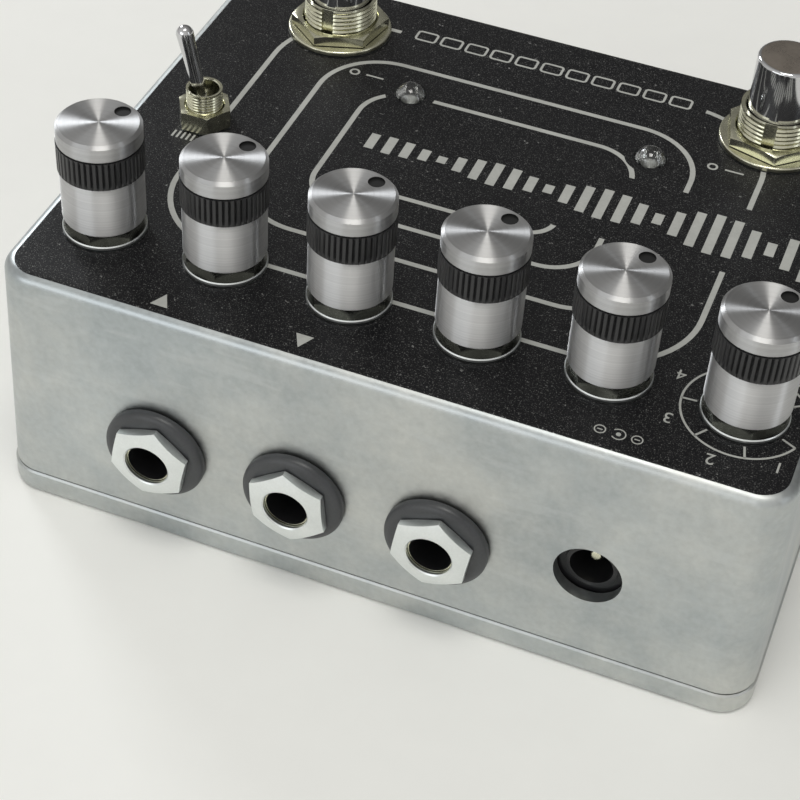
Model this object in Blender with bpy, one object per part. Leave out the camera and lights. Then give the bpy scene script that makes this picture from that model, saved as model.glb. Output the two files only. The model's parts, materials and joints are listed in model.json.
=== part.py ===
"""Delay pedal: a drafted die-cast case with six knobs, a toggle switch, two footswitches,
two lamps and four sockets. Metres, +Z up. The origin is the middle of the lid's underside,
-Y is the player's side, and the sockets are in the +Y wall."""

import math

import bmesh
import bpy
from mathutils import Matrix, Vector

MM = 0.001

# Gaps
SEAT_GAP = 0.3 * MM  # between a piece and what it is clamped to
FINE_GAP = 0.15 * MM  # between turned pieces that show their seam
RUNNING_GAP = 0.2 * MM  # around a shaft or a plunger
CUT_OVERRUN = 1.0 * MM
MERGE_DISTANCE = 0.0005 * MM

# Case
CASE_WIDTH = 119.5 * MM
CASE_DEPTH = 94.0 * MM
CASE_HEIGHT = 43.0 * MM
CORNER_RADIUS = 5.5 * MM
WALL = 1.9 * MM
PANEL_THICKNESS = 2.3 * MM
WALL_DRAFT = 0.8 * MM  # how far a wall leans in over its height
TOP_EDGE_RADIUS = 1.8 * MM
POST_RADIUS = 3.8 * MM
POST_INSET = 5.6 * MM  # from the rim's outer faces to a screw post's axis
POST_SETBACK = 0.2 * MM
POST_HOLE_DEPTH = 12.0 * MM

# Lid and its screws
LID_THICKNESS = 4.1 * MM
LID_PROUD = 0.2 * MM  # how far the lid stands out past the rim
LID_EDGE_RADIUS = 0.9 * MM
LIP_HEIGHT = 1.4 * MM
LIP_THICKNESS = 1.6 * MM
LIP_CLEARANCE = 0.4 * MM
LIP_NOTCH_RELIEF = 0.2 * MM
POCKET_INSET = 12.0 * MM
POCKET_DEPTH = 1.5 * MM
SCREW_RADIUS = 1.6 * MM
SCREW_LENGTH = 12.0 * MM
SCREW_HEAD_RADIUS = 3.0 * MM
SCREW_HEAD_HEIGHT = 1.7 * MM
SCREW_HEAD_SETBACK = 0.2 * MM
SCREW_RECESS_SPAN = 3.4 * MM
SCREW_RECESS_WIDTH = 0.8 * MM
SCREW_RECESS_DEPTH = 1.0 * MM

# Circuit board, between the potentiometers above it and the jacks below
BOARD_SLACK_SHARE = 0.5  # how much of the case's spare height lies above the board
BOARD_THICKNESS = 1.6 * MM
BOARD_MARGIN = 2.0 * MM
BOARD_CORNER_RADIUS = 1.5 * MM
PIN_WIDTH = 1.0 * MM
PIN_SINK = 0.5 * MM  # how far a pin runs into the piece that carries it

# Knobs, in a row along the rear edge
KNOB_COUNT = 6
KNOB_SIDE_INSET = 11.45 * MM  # from the case's side to the first knob's axis
KNOB_REAR_INSET = 16.5 * MM
KNOB_LIFT = 2.4 * MM  # the space between the panel and the knob
SLEEVE_RADIUS = 6.1 * MM
SLEEVE_HEIGHT = 8.6 * MM
SLEEVE_WALL = 1.0 * MM
RING_HEIGHT = 4.5 * MM
RING_RADIUS = 6.3 * MM
FLUTE_COUNT = 24
FLUTE_DEPTH = 0.3 * MM
CAP_RADIUS = 6.2 * MM
CAP_HEIGHT = 2.7 * MM
CAP_CHAMFER = 0.3 * MM
CAP_WALL = 1.2 * MM
SPIGOT_HEIGHT = 1.3 * MM
CORE_RECESS = 0.7 * MM  # from the sleeve's lower edge up to the core
DOT_RADIUS = 1.2 * MM
DOT_OFFSET = 4.15 * MM
DOT_DEPTH = 0.3 * MM
DOT_REST_DEG = -117.0  # where the dot points at rest, from +X
SHAFT_RADIUS = 2.9 * MM

# Potentiometers
POT_CAN_RADIUS = 6.9 * MM
POT_CAN_HEIGHT = 7.4 * MM
POT_RIM = 0.6 * MM
POT_BUSHING_WALL = 0.45 * MM
POT_BUSHING_PROUD = 0.3 * MM  # past the nut
POT_BORE_DEPTH = 2.5 * MM  # of the shaft's bore below the can's top
POT_NUT_FLATS = 10.0 * MM
POT_NUT_TURN_SHARES = (0.87, 0.95, 0.41, 0.89, 0.66, 0.59)  # in sixths of a turn
POT_NUT_HEIGHT = 1.2 * MM
POT_WASHER_RADIUS = 6.2 * MM
POT_WASHER_THICKNESS = 0.5 * MM
POT_PIN_PITCH = 4.0 * MM

# Sockets, in a row in the rear wall, hung below the board
SOCKET_COUNT = 4
SOCKET_SIDE_INSET = 26.45 * MM
SOCKET_ROW_SHIFT = -0.4 * MM  # the row sits a little off the middle
JACK_WIDTH = 15.6 * MM
JACK_LENGTH = 23.0 * MM
JACK_STEP = 9.0 * MM  # length of the broad front block
JACK_STEP_INSET = 1.6 * MM
JACK_ABOVE_AXIS = 9.1 * MM
JACK_BELOW_AXIS = 7.5 * MM
JACK_CORNER_RADIUS = 1.2 * MM
JACK_BARREL_RADIUS = 4.5 * MM
JACK_BORE_RADIUS = 3.25 * MM
JACK_END_WALL = 2.0 * MM
JACK_WASHER_RADIUS = 7.9 * MM
JACK_WASHER_TOP_RADIUS = 6.5 * MM
JACK_WASHER_RIM = 0.5 * MM
JACK_WASHER_HEIGHT = 1.6 * MM
JACK_NUT_FLATS = 11.2 * MM
JACK_NUT_HEIGHT = 1.9 * MM
JACK_NUT_FALL = 0.8 * MM  # from the hole's rim down to the corners
JACK_NUT_LIP = 0.7 * MM
JACK_NUT_HOLE_RADIUS = 3.45 * MM
JACK_NUT_TURN_SHARES = (0.37, 0.6, 0.32)  # how each nut happens to stand, in sixths of a turn
POWER_HOLE_RADIUS = 5.05 * MM
POWER_WIDTH = 11.0 * MM
POWER_LENGTH = 12.5 * MM
POWER_ABOVE_AXIS = 6.95 * MM
POWER_BELOW_AXIS = 5.5 * MM
POWER_COLLAR_RADIUS = 3.9 * MM
POWER_COLLAR_LENGTH = 0.4 * MM
POWER_BORE_RADIUS = 3.2 * MM
POWER_BORE_DEPTH = 9.5 * MM
POWER_PIN_RADIUS = 1.0 * MM
POWER_PIN_SETBACK = 2.0 * MM  # from the collar's face back to the pin's tip

# Toggle switch
TOGGLE_SIDE_INSET = 13.5 * MM
TOGGLE_REAR_INSET = 46.2 * MM
TOGGLE_CASE_LENGTH = 13.2 * MM
TOGGLE_CASE_WIDTH = 8.0 * MM
TOGGLE_BOARD_CLEARANCE = 2.6 * MM  # from the switch's case down to the board
TOGGLE_CASE_RADIUS = 0.6 * MM
TOGGLE_BUSHING_HEIGHT = 6.4 * MM  # above the panel
TOGGLE_BUSHING_WALL = 0.5 * MM
TOGGLE_PIVOT_DEPTH = 4.4 * MM
TOGGLE_WELL_FLOOR = 0.4 * MM  # from the pivot ball down to the bore's end
TOGGLE_THROW_DEG = 13.0  # to either side of upright
LEVER_LENGTH = 10.6 * MM  # above the bushing
LEVER_ROOT_RADIUS = 1.0 * MM
LEVER_TIP_RADIUS = 1.35 * MM
TOGGLE_NUT_FLATS = 7.6 * MM
TOGGLE_NUT_HEIGHT = 3.1 * MM
TOGGLE_PIN_PITCH = 4.6 * MM

# Footswitches
SWITCH_SIDE_INSET = 22.65 * MM
SWITCH_FRONT_INSET = 14.5 * MM
SWITCH_CASE_SIDE = 17.2 * MM
SWITCH_CASE_HEIGHT = 17.0 * MM
SWITCH_CASE_RADIUS = 0.8 * MM
SWITCH_LUG_PITCH = 5.0 * MM
SWITCH_LUG_LENGTH = 3.5 * MM
SWITCH_LUG_WIDTH = 1.6 * MM
SWITCH_LUG_THICKNESS = 0.7 * MM
SWITCH_BUSHING_RADIUS = 6.0 * MM
SWITCH_BUSHING_HEIGHT = 6.8 * MM  # above the panel
SWITCH_BUSHING_CHAMFER = 0.4 * MM
SWITCH_KEYWAY_WIDTH = 2.0 * MM
SWITCH_KEYWAY_DEPTH = 0.5 * MM
SWITCH_WASHER_RADIUS = 8.6 * MM
SWITCH_WASHER_THICKNESS = 0.7 * MM
SWITCH_NUT_FLATS = 14.0 * MM
SWITCH_NUT_HEIGHT = 1.7 * MM
SWITCH_NUT_TURNS_DEG = (44.0, 20.0)  # how each nut happens to stand
PLUNGER_RADIUS = 5.0 * MM
PLUNGER_HEIGHT = 15.9 * MM  # above the panel
PLUNGER_CHAMFER = 0.4 * MM
PLUNGER_ROOT = 4.0 * MM  # length held in the bushing at rest
PLUNGER_TRAVEL = 3.2 * MM

# Lamps
LAMP_SPREAD = 40.2 * MM
LAMP_ROW_SHIFT = -0.5 * MM
LAMP_FRONT_INSET = 27.15 * MM
LAMP_RADIUS = 2.5 * MM
LAMP_PROUD = 2.0 * MM
LAMP_FLANGE_RADIUS = 2.9 * MM
LAMP_FLANGE_HEIGHT = 1.0 * MM
LAMP_LEG_WIDTH = 0.5 * MM
LAMP_LEG_PITCH = 2.54 * MM

# How finely round shapes are drawn
ROUND_STEPS = 18
FINE_STEPS = 22
SMALL_STEPS = 12
CORNER_STEPS = 4
FILLET_STEPS = 3
SHARP_EDGE_DEG = 35.0

# Heights and places worked out from the sizes above
RIM_HEIGHT = LID_THICKNESS + SEAT_GAP
PANEL_UNDERSIDE = CASE_HEIGHT - PANEL_THICKNESS
BELOW_PANEL = PANEL_UNDERSIDE - SEAT_GAP
ABOVE_PANEL = CASE_HEIGHT + SEAT_GAP
JACK_HEIGHT = JACK_ABOVE_AXIS + JACK_BELOW_AXIS
STACK_HEIGHT = POT_CAN_HEIGHT + BOARD_THICKNESS + SEAT_GAP + JACK_HEIGHT
SPARE_HEIGHT = BELOW_PANEL - LID_THICKNESS - LIP_HEIGHT - STACK_HEIGHT
BOARD_TOP = BELOW_PANEL - POT_CAN_HEIGHT - SPARE_HEIGHT * BOARD_SLACK_SHARE
BOARD_UNDERSIDE = BOARD_TOP - BOARD_THICKNESS
PIN_END = BOARD_TOP + SEAT_GAP
JACK_AXIS_HEIGHT = BOARD_UNDERSIDE - SEAT_GAP - JACK_ABOVE_AXIS
POWER_AXIS_HEIGHT = BOARD_UNDERSIDE - SEAT_GAP - POWER_ABOVE_AXIS
SLEEVE_BOTTOM = CASE_HEIGHT + KNOB_LIFT
RING_BOTTOM = SLEEVE_BOTTOM + SLEEVE_HEIGHT + FINE_GAP
CAP_BOTTOM = RING_BOTTOM + RING_HEIGHT + FINE_GAP
BUSHING_BORE_RADIUS = SHAFT_RADIUS + RUNNING_GAP
POT_BUSHING_RADIUS = BUSHING_BORE_RADIUS + POT_BUSHING_WALL
POT_NUT_BASE = ABOVE_PANEL + POT_WASHER_THICKNESS
POT_BUSHING_TOP = POT_NUT_BASE + POT_NUT_HEIGHT + POT_BUSHING_PROUD
TOGGLE_THROW = math.radians(TOGGLE_THROW_DEG)
TOGGLE_TOP = CASE_HEIGHT + TOGGLE_BUSHING_HEIGHT
TOGGLE_PIVOT_HEIGHT = TOGGLE_TOP - TOGGLE_PIVOT_DEPTH
TOGGLE_BORE_RADIUS = (
    TOGGLE_PIVOT_DEPTH * math.tan(TOGGLE_THROW)
    + LEVER_ROOT_RADIUS / math.cos(TOGGLE_THROW)
    + SEAT_GAP
)
TOGGLE_BUSHING_RADIUS = TOGGLE_BORE_RADIUS + TOGGLE_BUSHING_WALL
PIVOT_BALL_RADIUS = TOGGLE_BORE_RADIUS - SEAT_GAP
SWITCH_TOP = CASE_HEIGHT + SWITCH_BUSHING_HEIGHT
SWITCH_NUT_BASE = ABOVE_PANEL + SWITCH_WASHER_THICKNESS + FINE_GAP
PLUNGER_BOTTOM = SWITCH_TOP - PLUNGER_ROOT
SWITCH_BORE_FLOOR = PLUNGER_BOTTOM - PLUNGER_TRAVEL - SEAT_GAP


def wall_lean(height):
    """How far the walls have leaned in at a height."""
    return WALL_DRAFT * (height - RIM_HEIGHT) / (CASE_HEIGHT - RIM_HEIGHT)


def rear_face(height):
    """The rear wall's outer face at a height."""
    return CASE_DEPTH / 2 - LID_PROUD - wall_lean(height)


def clear_start():
    for item in list(bpy.data.objects):
        bpy.data.objects.remove(item, do_unlink=True)


def material(name, colour, roughness, metallic=0.0, alpha=1.0):
    finish = bpy.data.materials.new(name)
    finish.use_nodes = True
    shader = finish.node_tree.nodes["Principled BSDF"]
    shader.inputs["Base Color"].default_value = (*colour, 1.0)
    shader.inputs["Roughness"].default_value = roughness
    shader.inputs["Metallic"].default_value = metallic
    shader.inputs["Alpha"].default_value = alpha
    finish.diffuse_color = (*colour, alpha)
    return finish


def circle(radius, steps, turn=0.0):
    angles = (turn + math.tau * step / steps for step in range(steps))
    return [(radius * math.cos(angle), radius * math.sin(angle)) for angle in angles]


def hexagon(across_flats, turn=0.0):
    return circle(across_flats / 2 / math.cos(math.pi / 6), 6, turn)


def rectangle(left, right, near, far, radius):
    """A rectangle with rounded corners, anticlockwise from the far right one."""
    centres = (
        (right - radius, far - radius),
        (left + radius, far - radius),
        (left + radius, near + radius),
        (right - radius, near + radius),
    )
    points = []
    for quarter, (x, y) in enumerate(centres):
        for step in range(CORNER_STEPS + 1):
            angle = math.pi / 2 * (quarter + step / CORNER_STEPS)
            points.append((x + radius * math.cos(angle), y + radius * math.sin(angle)))
    return points


def fluted(radius, depth, count):
    """A round outline with V flutes: every second point lies at a flute's floor."""
    points = []
    for step in range(2 * count):
        reach = radius - depth * (step % 2)
        angle = math.pi * step / count
        points.append((reach * math.cos(angle), reach * math.sin(angle)))
    return points


def cross(span, width):
    """A plus sign, for a screw's recess."""
    arm, half = span / 2, width / 2
    corner = [(arm, half), (half, half), (half, arm)]
    points = []
    for quarter in range(4):
        turn = Matrix.Rotation(math.pi / 2 * quarter, 2)
        points += [tuple(turn @ Vector(point)) for point in corner]
    return points


def loft(loops):
    """A closed skin over outlines of (points, height), with a flat face at each end."""
    shape = bmesh.new()
    rings = []
    for points, height in loops:
        rings.append([shape.verts.new((x, y, height)) for x, y in points])
    for low, high in zip(rings, rings[1:]):
        for here in range(len(low)):
            there = (here + 1) % len(low)
            shape.faces.new((low[here], low[there], high[there], high[here]))
    shape.faces.new(rings[0])
    shape.faces.new(rings[-1])
    bmesh.ops.recalc_face_normals(shape, faces=shape.faces)
    return shape


def prism(points, low, high):
    return loft([(points, low), (points, high)])


def lathe(profile, steps, hollow=False):
    """(radius, height) points turned about Z: from axis to axis, or a closed ring if hollow."""
    shape = bmesh.new()
    points = [shape.verts.new((radius, 0.0, height)) for radius, height in profile]
    pairs = list(zip(points, points[1:]))
    if hollow:
        pairs.append((points[-1], points[0]))
    edges = [shape.edges.new(pair) for pair in pairs]
    bmesh.ops.spin(
        shape,
        geom=points + edges,
        cent=(0.0, 0.0, 0.0),
        axis=(0.0, 0.0, 1.0),
        dvec=(0.0, 0.0, 0.0),
        angle=math.tau,
        steps=steps,
        use_merge=True,
        use_duplicate=False,
    )
    bmesh.ops.remove_doubles(shape, verts=shape.verts, dist=MERGE_DISTANCE)
    bmesh.ops.recalc_face_normals(shape, faces=shape.faces)
    return shape


def rod(radius, low, high, steps):
    return prism(circle(radius, steps), low, high)


def bore(radius, low, high, steps):
    """A cutter for a hole: its flats lie at the radius, so a round piece of that size fits."""
    return prism(circle(radius / math.cos(math.pi / steps), steps), low, high)


def block(size_x, size_y, low, high, centre=(0.0, 0.0)):
    x, y = centre
    points = [
        (x - size_x / 2, y - size_y / 2),
        (x + size_x / 2, y - size_y / 2),
        (x + size_x / 2, y + size_y / 2),
        (x - size_x / 2, y + size_y / 2),
    ]
    return prism(points, low, high)


def moved(shape, x=0.0, y=0.0, z=0.0):
    bmesh.ops.translate(shape, verts=shape.verts, vec=(x, y, z))
    return shape


def facing_rear(shape):
    """Turns a shape made along +Z so that it runs along +Y, its own +Y pointing down."""
    turn = Matrix.Rotation(-math.pi / 2, 4, "X")
    bmesh.ops.transform(shape, matrix=turn, verts=shape.verts)
    return shape


def gathered(shapes):
    """Several separate shapes in one, to join or cut with in a single step."""
    together = bmesh.new()
    for shape in shapes:
        mesh = bpy.data.meshes.new("gathered")
        shape.to_mesh(mesh)
        together.from_mesh(mesh)
        bpy.data.meshes.remove(mesh)
    return together


def plain_object(name, shape):
    mesh = bpy.data.meshes.new(name)
    shape.to_mesh(mesh)
    shape.free()
    item = bpy.data.objects.new(name, mesh)
    bpy.context.scene.collection.objects.link(item)
    return item


def carved(shape, joined=None, cut=None, kept=None):
    """The mesh of a shape after others are joined to it, cut from it and intersected with it."""
    body = plain_object("carved", shape)
    guides = []
    for operation, tool in (("UNION", joined), ("DIFFERENCE", cut), ("INTERSECT", kept)):
        if tool is None:
            continue
        guide = plain_object("guide", tool)
        guide.hide_render = True
        guide.display_type = "WIRE"
        step = body.modifiers.new(operation.title(), "BOOLEAN")
        step.operation = operation
        step.solver = "EXACT"
        step.object = guide
        guides.append(guide)
    depsgraph = bpy.context.evaluated_depsgraph_get()
    mesh = bpy.data.meshes.new_from_object(body.evaluated_get(depsgraph))
    for item in [body, *guides]:
        bpy.data.objects.remove(item, do_unlink=True)
    return mesh


def mesh_of(shape):
    mesh = bpy.data.meshes.new("shape")
    shape.to_mesh(mesh)
    shape.free()
    return mesh


def piece(name, mesh, finish, place=(0.0, 0.0, 0.0), turn=(0.0, 0.0, 0.0), parent=None):
    """One named piece, smooth apart from its sharp edges."""
    mesh.materials.clear()
    mesh.materials.append(finish)
    mesh.shade_smooth()
    mesh.set_sharp_from_angle(angle=math.radians(SHARP_EDGE_DEG))
    item = bpy.data.objects.new(name, mesh)
    item.location = place
    item.rotation_euler = turn
    item.parent = parent
    bpy.context.scene.collection.objects.link(item)
    return item


def axis_empty(name, place, turn=(0.0, 0.0, 0.0)):
    """An empty on a joint's axis, which its moving pieces hang from."""
    empty = bpy.data.objects.new(name, None)
    empty.location = place
    empty.rotation_euler = turn
    bpy.context.scene.collection.objects.link(empty)
    return empty


def hex_blank(across_flats, height):
    """A nut without its hole, its upper corners turned off to the flats."""
    corner_radius = across_flats / 2 / math.cos(math.pi / 6)
    fall = (corner_radius - across_flats / 2) * math.tan(math.radians(30))
    turned = lathe(
        [
            (0.0, -CUT_OVERRUN),
            (corner_radius + fall, -CUT_OVERRUN),
            (corner_radius + fall, height - fall),
            (across_flats / 2, height),
            (0.0, height),
        ],
        ROUND_STEPS,
    )
    blank = bmesh.new()
    blank.from_mesh(carved(prism(hexagon(across_flats), 0.0, height + fall), kept=turned))
    return blank


def hex_nut(across_flats, height, bore_radius):
    hole = bore(bore_radius, -CUT_OVERRUN, height + CUT_OVERRUN, SMALL_STEPS)
    return carved(hex_blank(across_flats, height), cut=hole)


def in_row(count, side_inset):
    """Places across the case, evenly spread between equal insets, from the player's left."""
    span = CASE_WIDTH - 2 * side_inset
    return [span * (step / (count - 1) - 1 / 2) for step in range(count)]


def knob_places():
    y = CASE_DEPTH / 2 - KNOB_REAR_INSET
    return [(x, y) for x in in_row(KNOB_COUNT, KNOB_SIDE_INSET)]


def switch_places():
    y = SWITCH_FRONT_INSET - CASE_DEPTH / 2
    return [(x, y) for x in in_row(2, SWITCH_SIDE_INSET)]


def socket_xs():
    return [x + SOCKET_ROW_SHIFT for x in in_row(SOCKET_COUNT, SOCKET_SIDE_INSET)]


def lamp_places():
    y = LAMP_FRONT_INSET - CASE_DEPTH / 2
    return [(LAMP_ROW_SHIFT + side * LAMP_SPREAD / 2, y) for side in (-1, 1)]


def toggle_place():
    return (CASE_WIDTH / 2 - TOGGLE_SIDE_INSET, CASE_DEPTH / 2 - TOGGLE_REAR_INSET)


def post_places():
    x = CASE_WIDTH / 2 - LID_PROUD - POST_INSET
    y = CASE_DEPTH / 2 - LID_PROUD - POST_INSET
    return [(x, y), (-x, y), (-x, -y), (x, -y)]


def case_outline(inset, radius):
    """The case's plan, drawn in by an inset from the lid's outline."""
    half_width = CASE_WIDTH / 2 - inset
    half_depth = CASE_DEPTH / 2 - inset
    return rectangle(-half_width, half_width, -half_depth, half_depth, radius)


def case_shell():
    """The drafted box: its inside from the panel down to the rim, then its outside up again."""
    inner_radius = CORNER_RADIUS - WALL
    ceiling_inset = LID_PROUD + WALL + wall_lean(PANEL_UNDERSIDE)
    loops = [
        (case_outline(ceiling_inset, inner_radius), PANEL_UNDERSIDE),
        (case_outline(LID_PROUD + WALL, inner_radius), RIM_HEIGHT),
        (case_outline(LID_PROUD, CORNER_RADIUS), RIM_HEIGHT),
    ]
    for step in range(FILLET_STEPS + 1):
        angle = math.pi / 2 * step / FILLET_STEPS
        height = CASE_HEIGHT - TOP_EDGE_RADIUS * (1 - math.sin(angle))
        inset = LID_PROUD + WALL_DRAFT + TOP_EDGE_RADIUS * (1 - math.cos(angle))
        radius = CORNER_RADIUS - TOP_EDGE_RADIUS * (1 - math.cos(angle))
        loops.append((case_outline(inset, radius), height))
    return loft(loops)


def panel_holes():
    low, high = PANEL_UNDERSIDE - CUT_OVERRUN, CASE_HEIGHT + CUT_OVERRUN
    sized = [(place, POT_BUSHING_RADIUS + SEAT_GAP) for place in knob_places()]
    sized += [(place, SWITCH_BUSHING_RADIUS + SEAT_GAP) for place in switch_places()]
    sized += [(place, LAMP_RADIUS + FINE_GAP) for place in lamp_places()]
    sized.append((toggle_place(), TOGGLE_BUSHING_RADIUS + SEAT_GAP))
    return [moved(bore(radius, low, high, SMALL_STEPS), x, y) for (x, y), radius in sized]


def socket_holes():
    """Holes through the rear wall: three for the jacks, one for the power socket."""
    power_x, *jack_xs = socket_xs()
    rear = CASE_DEPTH / 2
    low, high = rear - LID_PROUD - WALL_DRAFT - WALL - CUT_OVERRUN, rear + CUT_OVERRUN
    holes = [
        moved(facing_rear(bore(POWER_HOLE_RADIUS, low, high, FINE_STEPS)), x=power_x, z=POWER_AXIS_HEIGHT)
    ]
    radius = JACK_BARREL_RADIUS + SEAT_GAP
    for x in jack_xs:
        holes.append(moved(facing_rear(bore(radius, low, high, SMALL_STEPS)), x=x, z=JACK_AXIS_HEIGHT))
    return holes


def make_enclosure(finish):
    foot = RIM_HEIGHT + POST_SETBACK
    posts = [
        moved(rod(POST_RADIUS, foot, PANEL_UNDERSIDE + PANEL_THICKNESS / 2, SMALL_STEPS), x, y)
        for x, y in post_places()
    ]
    screw_holes = [
        moved(bore(SCREW_RADIUS + SEAT_GAP, foot - CUT_OVERRUN, foot + POST_HOLE_DEPTH, SMALL_STEPS), x, y)
        for x, y in post_places()
    ]
    mesh = carved(
        case_shell(),
        joined=gathered(posts),
        cut=gathered(panel_holes() + socket_holes() + screw_holes),
    )
    piece("enclosure", mesh, finish)


def lid_plate():
    loops = []
    for step in range(FILLET_STEPS + 1):
        angle = math.pi / 2 * step / FILLET_STEPS
        inset = LID_EDGE_RADIUS * (1 - math.sin(angle))
        height = LID_EDGE_RADIUS * (1 - math.cos(angle))
        loops.append((case_outline(inset, CORNER_RADIUS - inset), height))
    lip_inset = LID_PROUD + WALL + LIP_CLEARANCE
    lip_radius = CORNER_RADIUS - WALL
    lip_top = LID_THICKNESS + LIP_HEIGHT
    inner_inset = lip_inset + LIP_THICKNESS
    loops += [
        (case_outline(0.0, CORNER_RADIUS), LID_THICKNESS),
        (case_outline(lip_inset, lip_radius), LID_THICKNESS),
        (case_outline(lip_inset, lip_radius), lip_top),
        (case_outline(inner_inset, lip_radius), lip_top),
        (case_outline(inner_inset, lip_radius), LID_THICKNESS),
        (case_outline(POCKET_INSET, CORNER_RADIUS), LID_THICKNESS),
        (case_outline(POCKET_INSET + POCKET_DEPTH, CORNER_RADIUS), LID_THICKNESS - POCKET_DEPTH),
    ]
    return loft(loops)


def countersink():
    shank, head = SCREW_RADIUS + SEAT_GAP, SCREW_HEAD_RADIUS + SEAT_GAP
    return lathe(
        [
            (0.0, -CUT_OVERRUN),
            (head, -CUT_OVERRUN),
            (head, SCREW_HEAD_SETBACK),
            (shank, SCREW_HEAD_SETBACK + SCREW_HEAD_HEIGHT),
            (shank, LID_THICKNESS + CUT_OVERRUN),
            (0.0, LID_THICKNESS + CUT_OVERRUN),
        ],
        SMALL_STEPS,
    )


def make_lid(finish):
    notch_low = LID_THICKNESS - LIP_NOTCH_RELIEF
    notch_high = LID_THICKNESS + LIP_HEIGHT + CUT_OVERRUN
    cuts = []
    for x, y in post_places():
        notch = bore(POST_RADIUS + LIP_CLEARANCE, notch_low, notch_high, SMALL_STEPS)
        cuts += [moved(notch, x, y), moved(countersink(), x, y)]
    notches, sinks = gathered(cuts[::2]), gathered(cuts[1::2])
    notched = bmesh.new()
    notched.from_mesh(carved(lid_plate(), cut=notches))
    piece("bottom_lid", carved(notched, cut=sinks), finish)


def make_lid_screws(finish):
    top = SCREW_HEAD_SETBACK + SCREW_HEAD_HEIGHT
    turned = lathe(
        [
            (0.0, SCREW_HEAD_SETBACK),
            (SCREW_HEAD_RADIUS, SCREW_HEAD_SETBACK),
            (SCREW_RADIUS, top),
            (SCREW_RADIUS, SCREW_LENGTH - SCREW_RADIUS),
            (SCREW_RADIUS / 2, SCREW_LENGTH),
            (0.0, SCREW_LENGTH),
        ],
        SMALL_STEPS,
    )
    recess = prism(
        cross(SCREW_RECESS_SPAN, SCREW_RECESS_WIDTH),
        SCREW_HEAD_SETBACK - CUT_OVERRUN,
        SCREW_HEAD_SETBACK + SCREW_RECESS_DEPTH,
    )
    mesh = carved(turned, cut=recess)
    for number, (x, y) in enumerate(post_places(), 1):
        piece(f"lid_screw_{number}", mesh, finish, (x, y, 0.0))


def board_edges():
    """The board's half width, front and rear: clear of the walls and the footswitches."""
    half_width = CASE_WIDTH / 2 - LID_PROUD - wall_lean(BOARD_TOP) - WALL - BOARD_MARGIN
    front = switch_places()[0][1] + SWITCH_CASE_SIDE / 2 + BOARD_MARGIN
    rear = rear_face(BOARD_TOP) - WALL - BOARD_MARGIN
    return half_width, front, rear


def make_board(finish):
    """The board, with its rear corners cut away round the screw posts."""
    half_width, front, rear = board_edges()
    outline = rectangle(-half_width, half_width, front, rear, BOARD_CORNER_RADIUS)
    notch_side = 2 * (POST_RADIUS + BOARD_MARGIN)
    corners = [
        block(notch_side, notch_side, BOARD_UNDERSIDE - CUT_OVERRUN, BOARD_TOP + CUT_OVERRUN, place)
        for place in post_places()[:2]
    ]
    mesh = carved(prism(outline, BOARD_UNDERSIDE, BOARD_TOP), cut=gathered(corners))
    piece("circuit_board", mesh, finish)


def pins(xs, y, top):
    """Square pins from inside a piece down to the board."""
    return [block(PIN_WIDTH, PIN_WIDTH, PIN_END, top, (x, y)) for x in xs]


def pot_mesh():
    can_bottom = BELOW_PANEL - POT_CAN_HEIGHT
    bore_floor = BELOW_PANEL - POT_BORE_DEPTH
    can = lathe(
        [
            (0.0, can_bottom),
            (POT_CAN_RADIUS - POT_RIM, can_bottom),
            (POT_CAN_RADIUS, can_bottom + POT_RIM),
            (POT_CAN_RADIUS, BELOW_PANEL),
            (POT_BUSHING_RADIUS, BELOW_PANEL),
            (POT_BUSHING_RADIUS, POT_BUSHING_TOP),
            (BUSHING_BORE_RADIUS, POT_BUSHING_TOP),
            (BUSHING_BORE_RADIUS, bore_floor),
            (0.0, bore_floor),
        ],
        SMALL_STEPS,
    )
    xs = [POT_PIN_PITCH * step for step in (-1, 0, 1)]
    y = -POT_CAN_RADIUS / 2
    return carved(can, joined=gathered(pins(xs, y, can_bottom + PIN_SINK)))


def pot_nut_mesh():
    """A nut made in one with its washer."""
    height = POT_WASHER_THICKNESS + POT_NUT_HEIGHT
    washer = rod(POT_WASHER_RADIUS, 0.0, POT_WASHER_THICKNESS, ROUND_STEPS)
    nut = prism(hexagon(POT_NUT_FLATS), POT_WASHER_THICKNESS / 2, height)
    hole = bore(POT_BUSHING_RADIUS + FINE_GAP, -CUT_OVERRUN, height + CUT_OVERRUN, SMALL_STEPS)
    return carved(washer, joined=nut, cut=hole)


def sleeve_mesh():
    top = SLEEVE_BOTTOM + SLEEVE_HEIGHT
    inner = SLEEVE_RADIUS - SLEEVE_WALL
    return mesh_of(
        lathe(
            [
                (inner, SLEEVE_BOTTOM),
                (SLEEVE_RADIUS, SLEEVE_BOTTOM),
                (SLEEVE_RADIUS, top),
                (inner, top),
            ],
            ROUND_STEPS,
            hollow=True,
        )
    )


def core_mesh():
    """The fluted ring with the plug in the sleeve, the spigot in the cap and the shaft."""
    plug_radius = SLEEVE_RADIUS - SLEEVE_WALL - FINE_GAP
    plug_bottom = SLEEVE_BOTTOM + CORE_RECESS
    shaft_bottom = BELOW_PANEL - POT_BORE_DEPTH + SEAT_GAP
    ring_top = RING_BOTTOM + RING_HEIGHT
    spigot_radius = CAP_RADIUS - CAP_WALL - FINE_GAP
    spindle = lathe(
        [
            (0.0, shaft_bottom),
            (SHAFT_RADIUS, shaft_bottom),
            (SHAFT_RADIUS, plug_bottom),
            (plug_radius, plug_bottom),
            (plug_radius, RING_BOTTOM + RING_HEIGHT / 2),
            (spigot_radius, RING_BOTTOM + RING_HEIGHT / 2),
            (spigot_radius, ring_top + SPIGOT_HEIGHT),
            (0.0, ring_top + SPIGOT_HEIGHT),
        ],
        SMALL_STEPS,
    )
    ring = prism(fluted(RING_RADIUS, FLUTE_DEPTH, FLUTE_COUNT), RING_BOTTOM, ring_top)
    return carved(ring, joined=spindle)


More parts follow.
